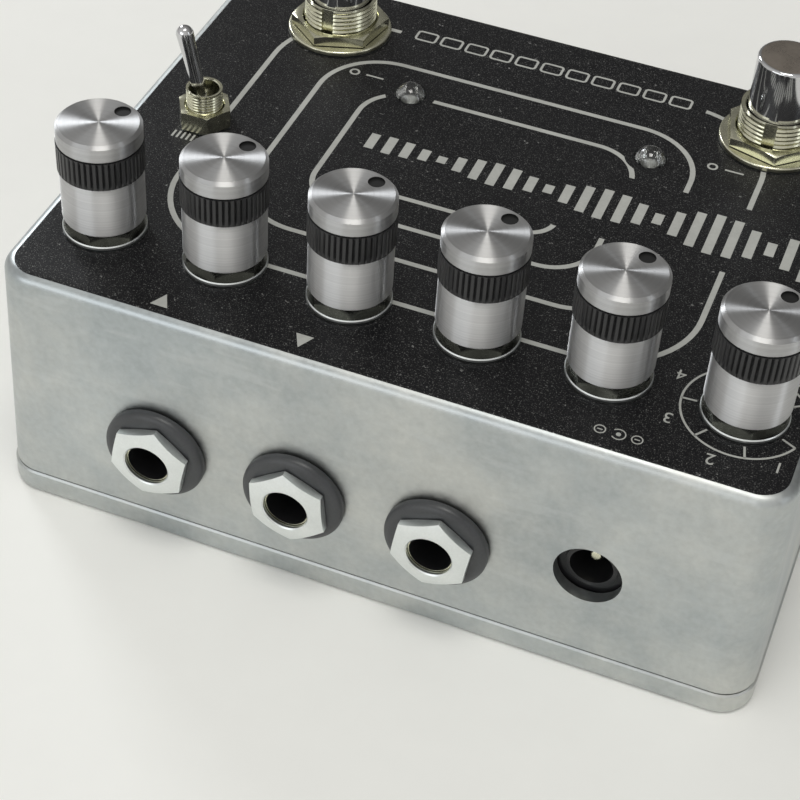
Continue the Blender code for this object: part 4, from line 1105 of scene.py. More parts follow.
class PEDAL_OT_panel(Operator):
    """Lay the black coat on the case's top, over the start of its rounded edge"""

    bl_idname = "pedal.panel"
    bl_label = "Panel Coat"

    def execute(self, context):
        half, top = high_of("enclosure").xy, panel_height()
        x, y = PRINT_HALF
        sheet = prism(rounded_rectangle(x, -y, y, PRINT_CORNER), top - PRINT_DROP, top + OVERRUN)
        layer = carved(panel_dome(half, top, detail().coat), kept=sheet)
        layer = carved(layer, cut=panel_dome(half, top, 0.0))
        low, high = top - OVERRUN, top + OVERRUN
        lamp_holes = [stood_at(rod(LAMP_HOLE_RADIUS, low, high), f"{side}_lamp") for side in SIDES]
        layer = carved(layer, cut=gathered(covered_spots(low, high) + lamp_holes))
        add_piece("panel_coat", layer, [panel_coat()])
        return {"FINISHED"}


def panel_dome(half, top, proud):
    """The top of the case, grown all round by a coat's thickness."""
    foot = case_outline(WALL_DRAFT - proud, CORNER_RADIUS + proud, half)
    return loft([(foot, top - 2 * TOP_EDGE_RADIUS), *top_edge(half, top, proud, 2 * FILLET_STEPS)])


def covered_spots(low, high):
    """What nuts and washers cover of the panel: there the coat and the ink stop at their edges."""
    names = [f"potentiometer_nut_{number}" for number in KNOBS]
    names += [f"{side}_footswitch_washer" for side in SIDES]
    spots = [stood_at(rod(radius_of(name) + SEAM, low, high, ROUND_STEPS), name) for name in names]
    spots.append(stood_at(prism(hexagon(TOGGLE_NUT_FLATS + SEAM), low, high), "toggle_nut"))
    return spots


# Printing

INK_OVERLAP = 0.01 * MM
# An arc that stops just short of meeting its own start
WHOLE_RING_DEG = (0.0, 359.0)
RING_STEPS = 32
DIAL_RADIUS = 8.8 * MM
DIAL_TICK_ROOT = 6.6 * MM
DIAL_STROKE = 0.32 * MM
DIAL_START_DEG = 153.6
DIAL_STEP_DEG = -50.0
DIAL_STEPS = 6
DIAL_ARC_STEPS = 96
NUMERAL_RADIUS = 10.7 * MM
# A font's size beside the height of its numerals
NUMERAL_SIZE = 1.4
NUMERAL_MERGE = 0.002 * MM


def ink_span():
    """The lowest and highest point of the pale ink."""
    top = panel_height() + detail().coat
    return top - INK_OVERLAP, top + detail().ink_height


def add_ink(name, shapes):
    add_piece(name, gathered(shapes), [finish("pale_ink")])


def arc_band(centre, radius, width, start_deg, end_deg, steps=RING_STEPS):
    inner, outer = (
        arc(centre, radius + grow, start_deg, end_deg, steps) for grow in (-width / 2, width / 2)
    )
    return ribbon(inner, outer, *ink_span())


def stroke_between(start, end, width):
    along = Vector(end) - Vector(start)
    side = Vector((-along.y, along.x)).normalized() * width / 2
    left = [tuple(Vector(point) + side) for point in (start, end)]
    right = [tuple(Vector(point) - side) for point in (start, end)]
    return ribbon(left, right, *ink_span())


def frame_band(centre, half, corner, width, steps):
    """A line of ink that runs round a rounded frame."""
    x, y = centre
    lines = []
    for grow in (-width / 2, width / 2):
        near, far = y - half[1] - grow, y + half[1] + grow
        lines.append(rounded_rectangle(half[0] + grow, near, far, corner + grow, steps, x))
    return ribbon(*lines, *ink_span(), closed=True)


class PEDAL_OT_dial(Operator):
    """Print the selector's dial: a broken ring, ticks and the numerals 1 to 6"""

    bl_idname = "pedal.dial"
    bl_label = "Dial"

    def execute(self, context):
        centre = middle("knob_cap_1")
        end_deg = DIAL_START_DEG + DIAL_STEP_DEG * DIAL_STEPS
        shapes = [arc_band(centre, DIAL_RADIUS, DIAL_STROKE, DIAL_START_DEG, end_deg, DIAL_ARC_STEPS)]
        reaches = (DIAL_TICK_ROOT, DIAL_RADIUS)
        ticks = zip(*(arc(centre, reach, DIAL_START_DEG, end_deg, DIAL_STEPS) for reach in reaches))
        shapes += [stroke_between(*ends, DIAL_STROKE) for ends in ticks]
        add_ink("dial_ring", shapes)
        half_step = DIAL_STEP_DEG / 2
        start_deg, end_deg = DIAL_START_DEG + half_step, end_deg - half_step
        places = arc(centre, NUMERAL_RADIUS, start_deg, end_deg, DIAL_STEPS - 1)
        numerals = [moved(numeral(str(number)), *place) for number, place in enumerate(places, 1)]
        add_ink("dial_numerals", numerals)
        return {"FINISHED"}


def numeral(text):
    """One upright numeral about the origin, as a thin closed shape in the ink's layer."""
    low, high = ink_span()
    curve = bpy.data.curves.new("numeral", "FONT")
    curve.body = text
    curve.size = detail().numeral_height * NUMERAL_SIZE
    curve.align_x = "CENTER"
    curve.align_y = "CENTER"
    curve.extrude = (high - low) / 2
    shape = shape_of(evaluated_mesh(loose_object("numeral", curve)))
    bpy.data.curves.remove(curve)
    bmesh.ops.remove_doubles(shape, verts=shape.verts, dist=NUMERAL_MERGE)
    return moved(shape, z=(low + high) / 2)


# Across, along, and which way the arrow points: 1 to the rear, -1 into the pedal
ARROW_PLACES = ((33.3 * MM, 42.1 * MM, -1), (12.1 * MM, 42.0 * MM, 1))
ARROW_HALF_WIDTH = 1.35 * MM
ARROW_LENGTH = 2.7 * MM
MARK_STROKE = 0.35 * MM
MARK_RADIUS = 0.7 * MM
SWITCH_MARK_RISE = 10.6 * MM
SWITCH_MARK_INSET = 7.0 * MM
SWITCH_MARK_DASH = (2.0 * MM, 5.0 * MM)
TOGGLE_RING_SHIFT = (1.9 * MM, -5.6 * MM)
TOGGLE_RING_STEPS = 24
TOGGLE_BARS_START = (3.0 * MM, 4.0 * MM)
TOGGLE_BAR_COUNT = 5
TOGGLE_BAR_PITCH = 0.8 * MM
TOGGLE_BAR_LENGTH = 1.7 * MM
POLARITY_PLACE = (-33.7 * MM, 41.6 * MM)
POLARITY_STROKE = MARK_STROKE / 2
POLARITY_RADIUS = 0.75 * MM
POLARITY_PITCH = 2.6 * MM
POLARITY_OPEN_RADIUS = 0.975 * MM
POLARITY_OPEN_DEG = (40.0, 320.0)
POLARITY_DOT_STEPS = 24


class PEDAL_OT_marks(Operator):
    """Print the arrows by the jacks and the plain marks by the sockets and switches"""

    bl_idname = "pedal.marks"
    bl_label = "Small Marks"

    def execute(self, context):
        shapes = [arrow_head(*place) for place in ARROW_PLACES] + polarity_mark()
        for side in SIDES:
            place = middle(f"{side}_footswitch_nut")
            x, y = place.x - math.copysign(SWITCH_MARK_INSET, place.x), place.y + SWITCH_MARK_RISE
            shapes.append(arc_band((x, y), MARK_RADIUS, MARK_STROKE, *WHOLE_RING_DEG))
            start, end = ((x - reach, y) for reach in SWITCH_MARK_DASH)
            shapes.append(stroke_between(start, end, MARK_STROKE))
        pivot = middle("toggle_nut").xy
        mark = pivot + Vector(TOGGLE_RING_SHIFT)
        shapes.append(arc_band(mark, MARK_RADIUS, MARK_STROKE, *WHOLE_RING_DEG, TOGGLE_RING_STEPS))
        start_x, y = pivot + Vector(TOGGLE_BARS_START)
        for bar in range(TOGGLE_BAR_COUNT):
            x = start_x - bar * TOGGLE_BAR_PITCH
            shapes.append(stroke_between((x, y), (x, y + TOGGLE_BAR_LENGTH), MARK_STROKE))
        add_ink("small_marks", shapes)
        return {"FINISHED"}


def arrow_head(x, y, way):
    tail, tip = y - way * ARROW_LENGTH / 2, y + way * ARROW_LENGTH / 2
    points = [(x - ARROW_HALF_WIDTH, tail), (x + ARROW_HALF_WIDTH, tail), (x, tip)]
    return prism(points, *ink_span())


def polarity_mark():
    """The usual sign for a pin that is negative: two circles, a dot in an open ring."""
    x, y = POLARITY_PLACE
    shapes = []
    for centre_x in (x - POLARITY_PITCH, x + POLARITY_PITCH):
        ring = arc_band((centre_x, y), POLARITY_RADIUS, POLARITY_STROKE, *WHOLE_RING_DEG)
        ends = ((centre_x + shift, y) for shift in (-POLARITY_RADIUS / 2, POLARITY_RADIUS / 2))
        shapes += [ring, stroke_between(*ends, POLARITY_STROKE)]
    shapes.append(arc_band((x, y), POLARITY_OPEN_RADIUS, POLARITY_STROKE, *POLARITY_OPEN_DEG))
    shapes.append(moved(rod(MARK_STROKE, *ink_span(), POLARITY_DOT_STEPS), x, y))
    return shapes


FRAME_CENTRE = (3.0 * MM, -3.5 * MM)
FRAME_HALF_SIZES = (
    (15.0 * MM, 9.5 * MM), (22.5 * MM, 16.0 * MM), (31.0 * MM, 23.5 * MM), (41.0 * MM, 32.5 * MM),
)
FRAME_CORNER_SHARE = 0.45
BARS_START = (-52.0 * MM, -5.5 * MM)
BARS_PITCH = 2.9 * MM
BARS_WIDTH = 1.5 * MM
BARS_HEIGHT = 13.0 * MM
BARS_MARGIN = 1.6 * MM
CHAIN_PLACE = (1.0 * MM, -36.5 * MM)
CHAIN_COUNT = 11
CHAIN_PITCH = 4.4 * MM
CHAIN_HALF = (1.7 * MM, 1.25 * MM)
CHAIN_CORNER = 0.5 * MM
CHAIN_STROKE = 0.4 * MM
CHAIN_ROOM = 5.0 * MM


class PEDAL_OT_pattern(Operator):
    """Print the panel's pattern: a fading row of bars in nested frames, and a chain"""

    bl_idname = "pedal.pattern"
    bl_label = "Pattern"

    def execute(self, context):
        low, high = ink_span()
        values = {
            "Count": detail().bars, "Pitch": BARS_PITCH, "Width": BARS_WIDTH, "Height": BARS_HEIGHT,
            "Thickness": high - low, "Fade per Bar": 0.045, "Swing per Bar": 0.52, "Least Share": 0.28,
            "Material": finish("pale_ink"),
        }
        bars = grown(fading_bars_tree(), values)
        add_ink("fading_bars", [moved(bars, *BARS_START, (low + high) / 2)])
        frames = [
            frame_band(FRAME_CENTRE, half, half[1] * FRAME_CORNER_SHARE, detail().stroke, CORNER_STEPS)
            for half in FRAME_HALF_SIZES
        ]
        gaps = gathered(pattern_gaps(low - OVERRUN, high + OVERRUN))
        add_ink("nested_frames", [carved(gathered(frames), cut=gaps)])
        x, y = CHAIN_PLACE
        links = []
        for link in range(CHAIN_COUNT):
            centre = (x + CHAIN_PITCH * (link - (CHAIN_COUNT - 1) / 2), y)
            links.append(frame_band(centre, CHAIN_HALF, CHAIN_CORNER, CHAIN_STROKE, SMALL_CORNER_STEPS))
        add_ink("chain", links)
        return {"FINISHED"}


def pattern_gaps(low, high):
    """Where the frames stop: at the bars, the chain, the lamps and what nuts and washers cover."""
    x, y = BARS_START
    span = detail().bars * BARS_PITCH
    bars = block(span, BARS_HEIGHT + 2 * BARS_MARGIN, low, high, (x + span / 2 - BARS_PITCH, y))
    chain = block((CHAIN_COUNT + 1) * CHAIN_PITCH, CHAIN_ROOM, low, high, CHAIN_PLACE)
    lamps = [stood_at(rod(LAMP_RADIUS + BARS_MARGIN, low, high), f"{side}_lamp") for side in SIDES]
    return [bars, chain, *lamps, *covered_spots(low, high)]


# Knobs

class PEDAL_OT_knobs(Operator):
    """Turn the knobs: satin sleeve, fluted black ring and spun cap with its dot"""

    bl_idname = "pedal.knobs"
    bl_label = "Knobs"

    def execute(self, context):
        for number in KNOBS:
            body = f"knob_{number}"
            spun, satin = (turned_aluminium(number, use) for use in TURNINGS)
            parts = (
                ("sleeve", sleeve_shape, [satin], "turned_metal"),
                ("core", core_shape, [finish("knob_black")], "black_plastic"),
                ("cap", cap_shape, [spun, finish("dot_black")], "turned_metal"),
            )
            for part, make, finishes, slot in parts:
                shape = stood_at(make(number), f"knob_cap_{number}")
                add_piece(f"{body}_{part}", shape, finishes, [f"knob_{part}_{number}"], body)
        return {"FINISHED"}


def sleeve_shape(number):
    low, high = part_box(f"knob_sleeve_{number}")
    radius = radius_of(f"knob_sleeve_{number}")
    inner = radius - SLEEVE_WALL
    upper, lower = SLEEVE_EDGE, SLEEVE_LOWER_EDGE
    profile = [(inner, high.z), (inner, low.z)]
    profile += arc((radius - lower, low.z + lower), lower, -90.0, 0.0, steps=6)
    profile += arc((radius - upper, high.z - upper), upper, 0.0, 90.0, steps=4)
    return lathe(profile, hollow=True)


def core_shape(number):
    """The fluted ring on its spindle."""
    low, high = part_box(f"knob_core_{number}")
    sleeve_low, sleeve_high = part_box(f"knob_sleeve_{number}")
    ring_top = low_of(f"knob_cap_{number}").z - RING_GAP
    flutes = detail().flutes
    values = {
        "Radius": RING_RADIUS, "Low": sleeve_high.z + RING_GAP, "High": ring_top,
        "Depth": detail().flute_depth, "Starts": flutes, "Turns per Metre": 0.0, "Groove Share": 0.5,
        "Run-out": FLUTE_RUN_OUT, "Around": flutes * FLUTE_STEPS, "Along": FLUTE_ROWS,
        "Material": finish("knob_black"),
    }
    ring = grown(ribbed_rod_tree(), values)
    waist = ring_top - RING_HEIGHT / 2
    seat = sleeve_low.z + CORE_RECESS
    spigot = radius_of(f"knob_cap_{number}") - CAP_WALL - RING_GAP
    spindle = solid_lathe([
        (SHAFT_RADIUS, low.z), (SHAFT_RADIUS, seat), (PLUG_RADIUS, seat),
        (PLUG_RADIUS, waist), (spigot, waist), (spigot, high.z),
    ])
    return carved(ring, joined=spindle)


def cap_shape(number):
    """The cap with its hollow for the core, its turned chamfer and the well of its dot."""
    low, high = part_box(f"knob_cap_{number}")
    radius = radius_of(f"knob_cap_{number}")
    edge = CAP_LOWER_EDGE
    socket = low.z + SPIGOT_HEIGHT
    profile = [(radius - CAP_WALL, socket), (radius - CAP_WALL, low.z)]
    profile += arc((radius - edge, low.z + edge), edge, -90.0, 0.0, steps=4)
    profile += [(radius - inward, high.z - down) for inward, down in CAP_CHAMFER]
    place = Matrix.Rotation(math.radians(DOT_DEG), 2) @ Vector((DOT_OFFSET, 0.0))
    dot = moved(rod(DOT_RADIUS, high.z - DOT_DEPTH, high.z + OVERRUN), *place)
    cap = carved(solid_lathe(profile, ROUND_STEPS), cut=dot)
    return paint_core(cap, DOT_RADIUS, socket + SEAM, high.z - SEAM, place)


class PEDAL_OT_knob_nuts(Operator):
    """Put the thin nuts and washers under the knobs"""

    bl_idname = "pedal.knob_nuts"
    bl_label = "Knob Nuts"

    def execute(self, context):
        thickness, edge = POT_WASHER_THICKNESS, POT_WASHER_EDGE
        for number, nut_deg in zip(KNOBS, POT_NUT_DEG):
            name = f"potentiometer_nut_{number}"
            low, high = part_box(name)
            radius = radius_of(name)
            height = high.z - low.z
            rim = radius - edge
            washer = solid_lathe([(radius, 0.0), (radius, thickness - edge), (rim, thickness)], ROUND_STEPS)
            nut = turned(hex_nut(POT_NUT_FLATS, height - thickness / 2, POT_HOLE_RADIUS), nut_deg)
            shape = carved(washer, cut=rod(POT_HOLE_RADIUS, -OVERRUN, height + OVERRUN))
            shape = carved(shape, joined=moved(nut, z=thickness / 2))
            # The nut and the washer's top take the dark nickel, painted shade under the knob's sleeve; only
            # the washer's rim keeps bright nickel.
            paint_faces(shape, lambda face: face.calc_center_median().xy.length > rim - SEAM)
            shape = stood_at(shape, name, low.z)
            finishes = [finish("dull_nickel"), finish("bright_nickel")]
            add_piece(f"knob_nut_{number}", shape, finishes, [name])
        return {"FINISHED"}


# Sockets in the rear wall

class PEDAL_OT_jacks(Operator):
    """Build the three jacks with their moulded washers and low coned nuts"""

    bl_idname = "pedal.jacks"
    bl_label = "Jacks"

    def execute(self, context):
        for name, nut_deg in zip(JACKS, JACK_NUT_DEG):
            axis = middle(f"{name}_jack_washer")
            moulded, plated = "black_plastic", "nickel"
            for part, make, turn_deg, uses, slot in (
                ("", jack_body, 0.0, ("black_plastic", "nickel"), moulded),
                ("_washer", jack_washer, 0.0, ("washer_plastic",), moulded),
                ("_nut", jack_nut, nut_deg, ("bright_nickel",), plated),
            ):
                node_name = f"{name}_jack{part}"
                shape = facing_rear(turned(make(*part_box(node_name)), turn_deg), axis.x, axis.z)
                finishes = [finish(use) for use in uses]
                add_piece(f"{name}_socket{part}", shape, finishes, [node_name])
        return {"FINISHED"}


def jack_body(low, high):
    """The moulded body against the wall and the barrel that comes through it."""
    half, inset = half_width(low, high), JACK_STEP_INSET
    near, far = -JACK_ABOVE_AXIS, high.z - low.z - JACK_ABOVE_AXIS
    corner = (JACK_CORNER_RADIUS, SMALL_CORNER_STEPS)
    broad = rounded_rectangle(half, near, far, *corner)
    slim = rounded_rectangle(half - inset, near + inset, far - inset, *corner)
    front = low.y + JACK_LENGTH
    step = front - JACK_STEP
    body = loft([(slim, low.y), (slim, step), (broad, step), (broad, front)])
    barrel = rod(JACK_BARREL_RADIUS, front - JACK_STEP / 2, high.y)
    hole = rod(JACK_BORE_RADIUS, low.y + JACK_END_WALL, high.y + OVERRUN)
    shape = carved(body, joined=barrel, cut=hole)
    return paint_core(shape, JACK_BARREL_RADIUS, front - JACK_STEP / 3)


def jack_washer(low, high):
    """A washer whose outer edge falls away in a quarter of an ellipse."""
    radius = half_width(low, high)
    fall = radius - JACK_WASHER_TOP_RADIUS
    rise = high.y - low.y - JACK_WASHER_RIM
    quarter = arc((0.0, 0.0), 1.0, 0.0, 90.0)
    profile = [(JACK_WASHER_HOLE, low.y), (radius, low.y)]
    for across, up in quarter:
        profile.append((JACK_WASHER_TOP_RADIUS + fall * across, low.y + JACK_WASHER_RIM + rise * up))
    return lathe([*profile, (JACK_WASHER_HOLE, high.y)], hollow=True)


def jack_nut(low, high):
    """A nut whose low cone closes over the barrel's end, down to the plug's hole."""
    height = high.y - low.y
    flats, barrel, edge = JACK_NUT_FLATS / 2, JACK_BARREL_RADIUS, JACK_NUT_HOLE_EDGE
    corner = hexagon_reach(JACK_NUT_FLATS)
    slope = JACK_NUT_FALL / (corner - barrel)
    reach = corner + JACK_NUT_OVERHANG
    lower, upper = (reach - flats) * slope / 2, height - (reach - barrel) * slope
    coned = solid_lathe([(flats, 0.0), (reach, lower), (reach, upper), (barrel, height)], ROUND_STEPS)
    nut = carved(prism(hexagon(JACK_NUT_FLATS), -OVERRUN, 2 * height), kept=coned)
    nut = carved(nut, cut=rod(barrel + JACK_NUT_SLACK, -OVERRUN, height - JACK_NUT_LIP))
    hole = solid_lathe([
        (JACK_NUT_HOLE, -OVERRUN), (JACK_NUT_HOLE, height - edge),
        (JACK_NUT_HOLE + edge + OVERRUN, height + OVERRUN),
    ])
    return moved(carved(nut, cut=hole), z=low.y)


class PEDAL_OT_power_socket(Operator):
    """Build the power socket with its collar, well and pin"""

    bl_idname = "pedal.power_socket"
    bl_label = "Power Socket"

    def execute(self, context):
        low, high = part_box("power_jack")
        x, z = power_axis()
        front = high.y - POWER_COLLAR_PROUD
        floor = high.y - POWER_BORE_DEPTH
        tip = high.y - POWER_PIN_SETBACK
        outline = rounded_rectangle(
            half_width(low, high), -POWER_ABOVE_AXIS, z - low.z, JACK_CORNER_RADIUS, SMALL_CORNER_STEPS
        )
        collar = softened(rod(POWER_COLLAR_RADIUS, front - OVERRUN, high.y), POWER_COLLAR_EDGE)
        well = rod(POWER_BORE_RADIUS, floor, high.y + OVERRUN)
        shell = carved(prism(outline, low.y, front), joined=collar, cut=well)
        edge = POWER_PIN_RADIUS / 2
        rounded_tip = arc((POWER_PIN_RADIUS - edge, tip - edge), edge, 0.0, 90.0, steps=6)
        pin = solid_lathe([(POWER_PIN_RADIUS, floor - OVERRUN / 2), *rounded_tip])
        shape = paint_core(carved(shell, joined=pin), POWER_PIN_RADIUS, floor + SEAM)
        finishes = [finish("black_plastic"), finish("nickel")]
        add_piece("power_socket", facing_rear(shape, x, z), finishes, ["power_jack"])
        return {"FINISHED"}


# Switches

def fitted_nut(name, across_flats, bushing_radius, turn_deg=0.0):
    """The nut of a node, on the node's own axis."""
    low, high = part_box(name)
    nut = hex_nut(across_flats, high.z - low.z, bushing_radius + NUT_SLACK)
    return stood_at(turned(nut, turn_deg), name, low.z)


def bushing_well(radius, floor, top, edge):
    """What is cut from a bushing: its bore, with the edge of its mouth broken."""
    return solid_lathe([(radius, floor), (radius, top - edge), (radius + edge + OVERRUN, top + OVERRUN)])


class PEDAL_OT_toggle(Operator):
    """Build the toggle switch: threaded bushing, nut and bat lever"""

    bl_idname = "pedal.toggle"
    bl_label = "Toggle Switch"

    def execute(self, context):
        nickel = [finish("nickel")]
        body = stood_at(toggle_shape(*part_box("toggle_case")), "toggle_nut")
        add_piece("toggle_body", body, nickel, ["toggle_case"], sharp_deg=SCREW_SHARP_DEG)
        nut = fitted_nut("toggle_nut", TOGGLE_NUT_FLATS, TOGGLE_BUSHING_RADIUS)
        add_piece("toggle_hex", nut, nickel, ["toggle_nut"])
        throw = next(joint for joint in frame["joints"] if joint["name"] == "toggle_throw")
        lever = moved(turned(lever_shape(), LEVER_LEAN_DEG, "Y"), *throw["pos_m"])
        add_piece("toggle_bat", lever, [finish("chrome")], ["toggle_lever"], "toggle")
        return {"FINISHED"}


def toggle_shape(low, high):
    """The case with its pins and the bushing that comes through the panel."""
    under = panel_underside()
    floor = low.z + TOGGLE_PIN_LENGTH
    half_y = TOGGLE_CASE_DEPTH / 2
    outline = rounded_rectangle(
        half_width(low, high), -half_y, half_y, TOGGLE_CORNER_RADIUS, SMALL_CORNER_STEPS
    )
    pins = [
        block(TOGGLE_PIN_SIDE, TOGGLE_PIN_SIDE, low.z, floor + OVERRUN, (TOGGLE_PIN_PITCH * step, 0.0))
        for step in (-1, 0, 1)
    ]
    bushing = threaded(
        TOGGLE_BUSHING_RADIUS, under - OVERRUN / 2, high.z, detail().fine_pitch, TOGGLE_THREAD_DEPTH
    )
    bottom = panel_height() - TOGGLE_BORE_FLOOR
    well = bushing_well(TOGGLE_BORE_RADIUS, bottom, high.z, TOGGLE_BORE_EDGE)
    return carved(prism(outline, floor, under), joined=gathered([bushing, *pins]), cut=well)


def lever_shape():
    """The bat about its ball's middle: the ball, a shank that swells towards its end, a round tip."""
    root, tip, steps = LEVER_ROOT_RADIUS, LEVER_TIP_RADIUS, 12
    join_deg = math.degrees(math.acos(root / LEVER_BALL_RADIUS))
    ball = arc((0.0, 0.0), LEVER_BALL_RADIUS, -90.0, join_deg, steps=24)
    start, end = ball[-1][1], LEVER_REACH - tip
    shares = [step / steps for step in range(1, steps)]
    shank = [(root + (tip - root) * share**LEVER_SWELL, start + (end - start) * share) for share in shares]
    cap = arc((0.0, end), tip, 0.0, 90.0, steps)
    return lathe([(0.0, -LEVER_BALL_RADIUS), *ball[1:], *shank, *cap[:-1], (0.0, LEVER_REACH)], SMALL_STEPS)


class PEDAL_OT_footswitches(Operator):
    """Build the footswitches: keyed threaded bushing, washer, nut and button"""

    bl_idname = "pedal.footswitches"
    bl_label = "Footswitches"

    def execute(self, context):
        nickel = [finish("nickel")]
        for side, nut_deg in zip(SIDES, SWITCH_NUT_DEG):
            name = f"{side}_footswitch"
            body = stood_at(switch_shape(*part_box(f"{name}_case")), f"{name}_nut")
            add_piece(f"{name}_body", body, nickel, [f"{name}_case"], sharp_deg=SCREW_SHARP_DEG)
            ring = stood_at(washer_shape(*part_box(f"{name}_washer")), f"{name}_nut")
            add_piece(f"{name}_ring", ring, nickel, [f"{name}_washer"])
            nut = fitted_nut(f"{name}_nut", SWITCH_NUT_FLATS, SWITCH_BUSHING_RADIUS, nut_deg)
            add_piece(f"{name}_hex", nut, nickel, [f"{name}_nut"])
            button = stood_at(button_shape(*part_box(f"{name}_button")), f"{name}_nut")
            finishes = [finish("chrome"), finish("worn_top")]
            add_piece(f"{name}_cap", button, finishes, [f"{name}_button"], name)
        return {"FINISHED"}


def switch_shape(low, high):
    """The case with its nine lugs and the keyed bushing that comes through the panel."""
    under = panel_underside()
    half, radius = SWITCH_CASE_SIDE / 2, SWITCH_BUSHING_RADIUS
    floor = low.z + SWITCH_LUG_LENGTH
    outline = rounded_rectangle(half, -half, half, SWITCH_CORNER_RADIUS, SMALL_CORNER_STEPS)
    steps = (-SWITCH_LUG_PITCH, 0.0, SWITCH_LUG_PITCH)
    lugs = [block(*SWITCH_LUG_SIDES, low.z, floor + OVERRUN, (x, y)) for x in steps for y in steps]
    bushing = threaded(radius, under - OVERRUN / 2, high.z, detail().coarse_pitch, SWITCH_THREAD_DEPTH)
    well = bushing_well(SWITCH_BORE_RADIUS, high.z - SWITCH_BORE_DEPTH, high.z, SWITCH_BORE_EDGE)
    sides = (SWITCH_KEYWAY_WIDTH, 2 * SWITCH_KEYWAY_DEPTH)
    keyway = block(*sides, panel_height(), high.z + OVERRUN, (0.0, radius))
    case = prism(outline, floor, under)
    return carved(case, joined=gathered([bushing, *lugs]), cut=gathered([well, keyway]))


def washer_shape(low, high):
    radius, height = half_width(low, high), high.z - low.z
    inner = SWITCH_BUSHING_RADIUS + SWITCH_WASHER_SLACK
    edge = height * SWITCH_WASHER_EDGE_SHARE
    profile = [(inner, 0.0), (radius, 0.0), *arc((radius - edge, height - edge), edge, 0.0, 90.0, steps=5)]
    return moved(lathe([*profile, (inner, height)], hollow=True), z=low.z)


def button_shape(low, high):
    """A button whose flat top takes its second finish, a brownish metal."""
    radius, edge = half_width(low, high), BUTTON_EDGE
    profile = [(radius, low.z), *arc((radius - edge, high.z - edge), edge, 0.0, 90.0)]
    button = solid_lathe(profile, ROUND_STEPS)
    return paint_faces(button, lambda face: face.normal.z > FLAT_TOP_NORMAL)


# Lamps and inner parts

class PEDAL_OT_lamps(Operator):
    """Build the clear lamps and the bright cups inside them"""

    bl_idname = "pedal.lamps"
    bl_label = "Lamps"

    def execute(self, context):
        for side in SIDES:
            name = f"{side}_lamp"
            low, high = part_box(name)
            flange = half_width(low, high)
            top = panel_underside()
            bottom = top - LAMP_FLANGE_HEIGHT
            dome = high.z - LAMP_RADIUS
            profile = [(0.0, bottom), (flange, bottom), (flange, top), (LAMP_RADIUS, top)]
            profile += arc((0.0, dome), LAMP_RADIUS, 0.0, 90.0, steps=20)[:-1]
            lens = stood_at(lathe([*profile, (0.0, high.z)], SMALL_STEPS), name)
            add_piece(f"{name}_lens", lens, [clear_resin()], [name])
            rim = dome - LAMP_CUP_SETBACK
            cup = solid_lathe([(LAMP_CUP_RADIUS * share, rim - depth) for share, depth in LAMP_CUP_PROFILE])
            ends = (low.z, bottom - LAMP_LEG_GAP)
            legs = [
                block(LAMP_LEG_SIDE, LAMP_LEG_SIDE, *ends, (shift, 0.0))
                for shift in (-LAMP_LEG_SHIFT, LAMP_LEG_SHIFT)
            ]
            metal = stood_at(gathered([cup, *legs]), name)
            add_piece(f"{name}_cup", metal, [finish("tinned_steel")], ())
        return {"FINISHED"}


class PEDAL_OT_inner_parts(Operator):
    """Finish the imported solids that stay: the board and the potentiometers"""

    bl_idname = "pedal.inner_parts"
    bl_label = "Inner Parts"

    def execute(self, context):
        uses = {"circuit_board": "board_laminate"}
        uses.update({f"potentiometer_{number}": "tinned_steel" for number in KNOBS})
        for name, use in uses.items():
            slots = frame["nodes"][name].data.materials
            slots.clear()
            slots.append(finish(use))
        return {"FINISHED"}


# Studio

TARGET = Vector((0.0, 0.0, 0.02))
# Each light: its direction from the pedal, its distance, its width and height, and its colour
LIGHTS = {
    "overhead": ((-0.06, 0.18, 1.0), 1.1, (0.4, 0.4), (1.0, 0.985, 0.94)),
    "key": ((0.70, -0.53, 0.48), 1.1, (0.25, 0.25), (0.94, 0.97, 1.0)),
    "fill": ((0.35, 0.85, 0.40), 1.1, (0.8, 0.5), (0.93, 0.97, 1.0)),
    "strip": ((-0.95, 0.14, 0.40), 1.0, (0.12, 0.6), (0.90, 0.95, 1.0)),
}
FLOOR_SIZE = 3.0
ROOM_COLOUR = (1.0, 0.99, 0.965, 1.0)
# The room is bright on the camera's side and dim behind the pedal
BRIGHT_SIDE = (0.30, 0.90, 0.25)
DARK_SIDE_SHARE = 0.18
DARK_TO_BRIGHT = (-0.8, 0.7)


class PEDAL_OT_stage(Operator):
    """Set the floor, the soft lights and the camera at the photograph's angle"""

    bl_idname = "pedal.stage"
    bl_label = "Studio"

    def execute(self, context):
        add_floor()
        for name, (direction, distance, size, colour) in LIGHTS.items():
            add_light(name, Vector(direction).normalized() * distance, size, colour)
        context.scene.world = new_room()
        context.scene.view_settings.view_transform = "Standard"
        context.scene.camera = new_camera()
        return {"FINISHED"}


def add_floor():
    half = FLOOR_SIZE / 2
    mesh = bpy.data.meshes.new("floor")
    corners = [(-half, -half, 0.0), (half, -half, 0.0), (half, half, 0.0), (-half, half, 0.0)]
    mesh.from_pydata(corners, [], [(0, 1, 2, 3)])
    mesh.materials.append(mottled_material("floor_paper", studio().floor, *FLOOR_PAPER))
    loose_object("floor", mesh)


def add_light(name, place, size, colour):
    lamp = bpy.data.lights.new(name, "AREA")
    lamp.shape = "RECTANGLE"
    lamp.size, lamp.size_y = size
    lamp.energy = getattr(studio(), name)
    lamp.color = colour
    item = loose_object(name, lamp)
    item.location = TARGET + place
    item.rotation_euler = (-place).to_track_quat("-Z", "Y").to_euler()


